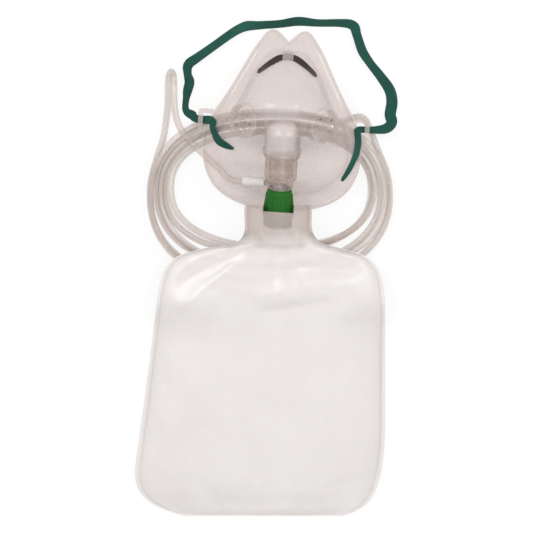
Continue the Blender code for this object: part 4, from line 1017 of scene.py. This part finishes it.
def flat_band(stations, width, thickness, tail):
    """A band with rounded edges: level on the table, flat on the mask near its ends."""
    line = [Vector(row[:3]) for row in stations]
    last = len(line) - 1
    turn_only = MASK.to_3x3()
    placed = []
    for i, at in enumerate(line):
        end = min(i, last - i)
        back = MASK.inverted() @ at
        face = turn_only @ dome_normal(back.x, -back.y, STRAP_WIDTH)
        hug = 1 - ease(end, tail - 4, tail + 4)
        up = Vector((0, 0, 1)).lerp(face, hug)
        ahead = (line[min(i + 2, last)] - line[max(i - 2, 0)]).normalized()
        side = ahead.cross(up).normalized()
        side = Matrix.Rotation(math.radians(stations[i][3]), 3, ahead) @ side
        up = side.cross(ahead).normalized()
        half = width / 2 * stations[i][4] * (0.55 + 0.45 * ease(end, -1, 2))
        lift = 0.0
        while end < tail and min(
                over_mask(at + side * half * f - up * (thickness / 2 - lift))
                for f in (-1, -0.5, 0, 0.5, 1)) < CLEARANCE:
            lift += LIFT_STEP
        placed.append([at, side, up, half, lift])
    lifts = [row[4] for row in placed]
    sections = []
    for i, (at, side, up, half, lift) in enumerate(placed):
        near = lifts[max(i - 2, 0):i + 3]
        at = at + up * (sum(near) / len(near))
        cup = CUPPING * math.sin(i * 0.21)
        free = TABLE_END < i < last - TABLE_END
        row = []
        for f, g in BAND_SECTION:
            bend = up * (cup * (f * f - 0.4)) if free else Vector()
            row.append(at + side * half * f + up * (thickness / 2) * g + bend)
        sections.append(row)
    return skin(sections)


strap_line, strap_run = strap_stations(strap_rows, 1.2)
print("strap length", round(strap_run * MM, 3), "m")

# %% [markdown]
# Seen close, the elastic is a fine green weave. Two crossed sets of bands give its ribs,
# and slow clouds fade its colour a little along the band.


# %% Woven finish
def woven_elastic():
    f = Finish("woven_green_elastic")
    ribs = f.node("TexWave", {"wave_type": "BANDS", "bands_direction": "X"},
                  Vector=f.place(), Scale=520.0, Distortion=1.2, Detail=2.0)
    weft = f.node("TexWave", {"wave_type": "BANDS", "bands_direction": "Y"},
                  Vector=f.place(), Scale=410.0, Distortion=1.5, Detail=2.0)
    knit = f.maths("MULTIPLY", ribs.outputs["Fac"], weft.outputs["Fac"])
    fade = f.clouds(35.0, 3.0, seed=5.0)
    base = f.blend(f.span(fade, 0.3, 0.7, 0.0, 1.0), (0.008, 0.058, 0.043),
                   (0.018, 0.098, 0.073))
    colour = f.blend(f.span(knit, 0.0, 0.8, 0.0, 0.55), base, (0.006, 0.042, 0.032))
    normal = f.bump(knit, 0.5, 0.0003)
    body = f.node("BsdfPrincipled", Base_Color=colour, Roughness=0.8, Normal=normal,
                  Specular_IOR_Level=0.2, Sheen_Weight=0.06, Sheen_Roughness=0.5)
    return f.finish(body.outputs[0])


TAIL = 22
band = flat_band(strap_line, STRAP_WIDTH, STRAP_THICKNESS, TAIL)
strap = new_piece("woven_head_strap", new_mesh("woven_head_strap", *band, sharp=50),
                  woven_elastic(), "green_elastic", ("head_strap",))
print("strap faces", len(strap.data.polygons))

# %% [markdown]
# ## The nose clip
# A soft aluminium strip that is pinched over the nose. It follows the dome under its
# bridge, with rounded ends and a fine bevel. It is drawn 6.2 mm wide, as the photograph
# shows it, where the CAD has 5 mm. Its metal is dark, because in the photograph it
# reflects the dark room and looks nearly black.


# %% Nose clip
def clip_strip(length, count):
    """A strip along the clip's line, bevelled, and round at both ends."""
    sections = []
    for k in range(count + 1):
        u = -length + 2 * length * k / count
        v = clip_v(u)
        at, normal = dome_point(u, v), dome_normal(u, v, CLIP_WIDTH / 2)
        ahead = clip_ahead(u, 0.5).normalized()
        side = normal.cross(ahead).normalized()
        normal = ahead.cross(side).normalized()
        from_end = (length - abs(u)) * 1.1
        half = CLIP_WIDTH / 2 * (1 - max(0.0, 1 - from_end / 1.8) ** 2.2) ** 0.5
        half = max(half, 0.35)
        low, high, edge = GAP, GAP + CLIP_THICKNESS, 0.12
        flat, up = half - edge, low + edge
        sections.append([at + side * x + normal * z for x, z in (
            (-half, up), (-flat, low), (flat, low), (half, up), (half, high - edge),
            (flat, high), (-flat, high), (-half, high - edge))])
    return skin(sections)


def aluminium_painted_dark():
    f = Finish("aluminium_painted_dark")
    brush = f.clouds(260.0, 3.0, 0.6, stretch=(0.25, 1, 1), seed=3.0)
    # painted reflection: the near-black colour stands in for the dark room that the metal
    # reflects
    colour = f.blend(f.span(brush, 0.3, 0.7, 0, 1), (0.040, 0.031, 0.027),
                     (0.075, 0.058, 0.050))
    body = f.node("BsdfPrincipled", Base_Color=colour, Metallic=0.75,
                  Roughness=f.span(brush, 0.2, 0.8, 0.32, 0.5),
                  Normal=f.bump(brush, 0.25, 0.0002))
    return f.finish(body.outputs[0])


clip = new_piece("pinch_clip", new_mesh("pinch_clip", *clip_strip(CLIP_ROWS[-1][0], 44)),
                 aluminium_painted_dark(), "aluminium", ("nose_clip",))
move_mm(clip.data, MASK)
print("clip", [round(c / MM, 1) for c in clip.dimensions])

# %% [markdown]
# ## Finishes of the pieces that keep their CAD shape
# The tee, its valve, the flaps, the sleeve and the far connector are right as the CAD has
# them, so they only get their plastics. Each is given to the node's own material slots.


# %% CAD node finishes
def give(node, look):
    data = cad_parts[node].data
    data.materials.clear()
    data.materials.append(look)


def green_moulding():
    f = Finish("green_moulding")
    grain = f.clouds(420.0, 3.0, 0.6, seed=9.0)
    patches = f.clouds(55.0, 3.0, 0.5, seed=11.0)
    colour = f.blend(f.span(patches, 0.3, 0.7, 0, 1), (0.006, 0.082, 0.007),
                     (0.015, 0.150, 0.014))
    body = f.node("BsdfPrincipled", Base_Color=colour, Specular_IOR_Level=0.22,
                  Roughness=f.span(patches, 0.3, 0.7, 0.45, 0.6),
                  Normal=f.bump(grain, 0.12, 0.0002))
    return f.finish(body.outputs[0])


rigid_clear = clear_plastic(
    "rigid_clear", (0.895, 0.845, 0.82), (0.64, 0.56, 0.525), (0.36, 0.30, 0.275),
    0.22, 0.72, 0.8, 0.28, slant=(0.30, 0.95), ripple=0.08, ripple_scale=130.0, mottle=0.18,
    mottle_scale=150.0, seed=12.0)
silicone = clear_plastic(
    "silicone", (0.975, 0.96, 0.95), (0.80, 0.73, 0.69), (0.56, 0.49, 0.455),
    0.08, 0.50, 0.5, 0.4, ripple=0.05, ripple_scale=200.0, mottle=0.05,
    mottle_scale=90.0, seed=14.0)
pale_sleeve = clear_plastic(
    "pale_sleeve", (0.95, 0.935, 0.925), (0.86, 0.83, 0.81), (0.50, 0.45, 0.43),
    0.55, 0.85, 0.8, 0.25, slant=(0.45, 0.98), seed=16.0)
for node in ("tee_body", "inlet_valve_seat"):
    give(node, rigid_clear)
for node in ("exhalation_flap_left", "exhalation_flap_right", "inlet_valve_flap"):
    give(node, silicone)
give("tube_sleeve", pale_sleeve)
give("tube_source_connector", clear_tubing)
give("bag_collar", green_moulding())

# %% [markdown]
# ## The table and the light
# The photograph's white is the table itself. For rays that the camera sees directly, or
# in a gleam or through clear plastic, the floor shines mostly by itself at exactly white,
# and a small share of it stays a real surface that keeps the object's soft shadow.


# %% Table
WHITE_SHARE, PAPER = 0.86, (0.92, 0.92, 0.92, 1)


def table_top():
    f = Finish("white_table")
    paper = f.node("BsdfDiffuse", Color=PAPER)
    white = f.node("Emission", Strength=1.0)
    mix = f.node("MixShader", i0=f.maths("MULTIPLY", f.white_rays(), WHITE_SHARE),
                 i1=paper.outputs[0], i2=white.outputs[0])
    return f.finish(mix.outputs[0])


FLOOR_HALF, FLOOR_Z = 3.0, -0.0002
floor_mesh = bpy.data.meshes.new("table_top")
corners = [(x * FLOOR_HALF, y * FLOOR_HALF, FLOOR_Z)
           for x, y in ((-1, -1), (1, -1), (1, 1), (-1, 1))]
floor_mesh.from_pydata(corners, [], [(0, 1, 2, 3)])
floor = new_piece("table_top", floor_mesh, table_top())
print("table", 2 * FLOOR_HALF, "m square")

# %% [markdown]
# The world lights the object with a pale sky, and to the camera it is as white as the
# table, so no edge shows in a low view. Three large soft lamps do the rest: two beyond
# the nose, and a weaker one over the bag that gives its film a broad highlight.

# %% Light
SKY, SKY_STRENGTH = (1.0, 0.985, 0.975, 1), 0.62
world = bpy.data.worlds.new("studio")
bpy.context.scene.world = world
world.use_nodes = True
studio = Wiring(world.node_tree)
sky = world.node_tree.nodes["Background"]
sky.inputs["Color"].default_value = SKY
sky.inputs["Strength"].default_value = SKY_STRENGTH
backdrop = studio.node("Background", Color=(1, 1, 1, 1))
mix = studio.node("MixShader", i0=studio.white_rays(), i1=sky.outputs[0],
                  i2=backdrop.outputs[0])
studio.put(world.node_tree.nodes["World Output"].inputs["Surface"], mix.outputs[0])
# where it stands, aimed at the origin (m), size (m), power (W)
LAMPS = [((-0.55, 0.45, 0.9), 0.55, 4.8), ((0.6, 0.35, 0.8), 0.45, 3.0),
         ((0.14, -0.62, 0.95), 0.6, 1.35)]
for k, (at, size, power) in enumerate(LAMPS):
    data = bpy.data.lights.new("softbox_%d" % k, "AREA")
    data.shape, data.size, data.energy = "DISK", size, power
    lamp = bpy.data.objects.new("softbox_%d" % k, data)
    lamp.location = at
    lamp.rotation_mode = "QUATERNION"
    lamp.rotation_quaternion = (-Vector(at)).to_track_quat("-Z", "Y")
    bpy.context.scene.collection.objects.link(lamp)
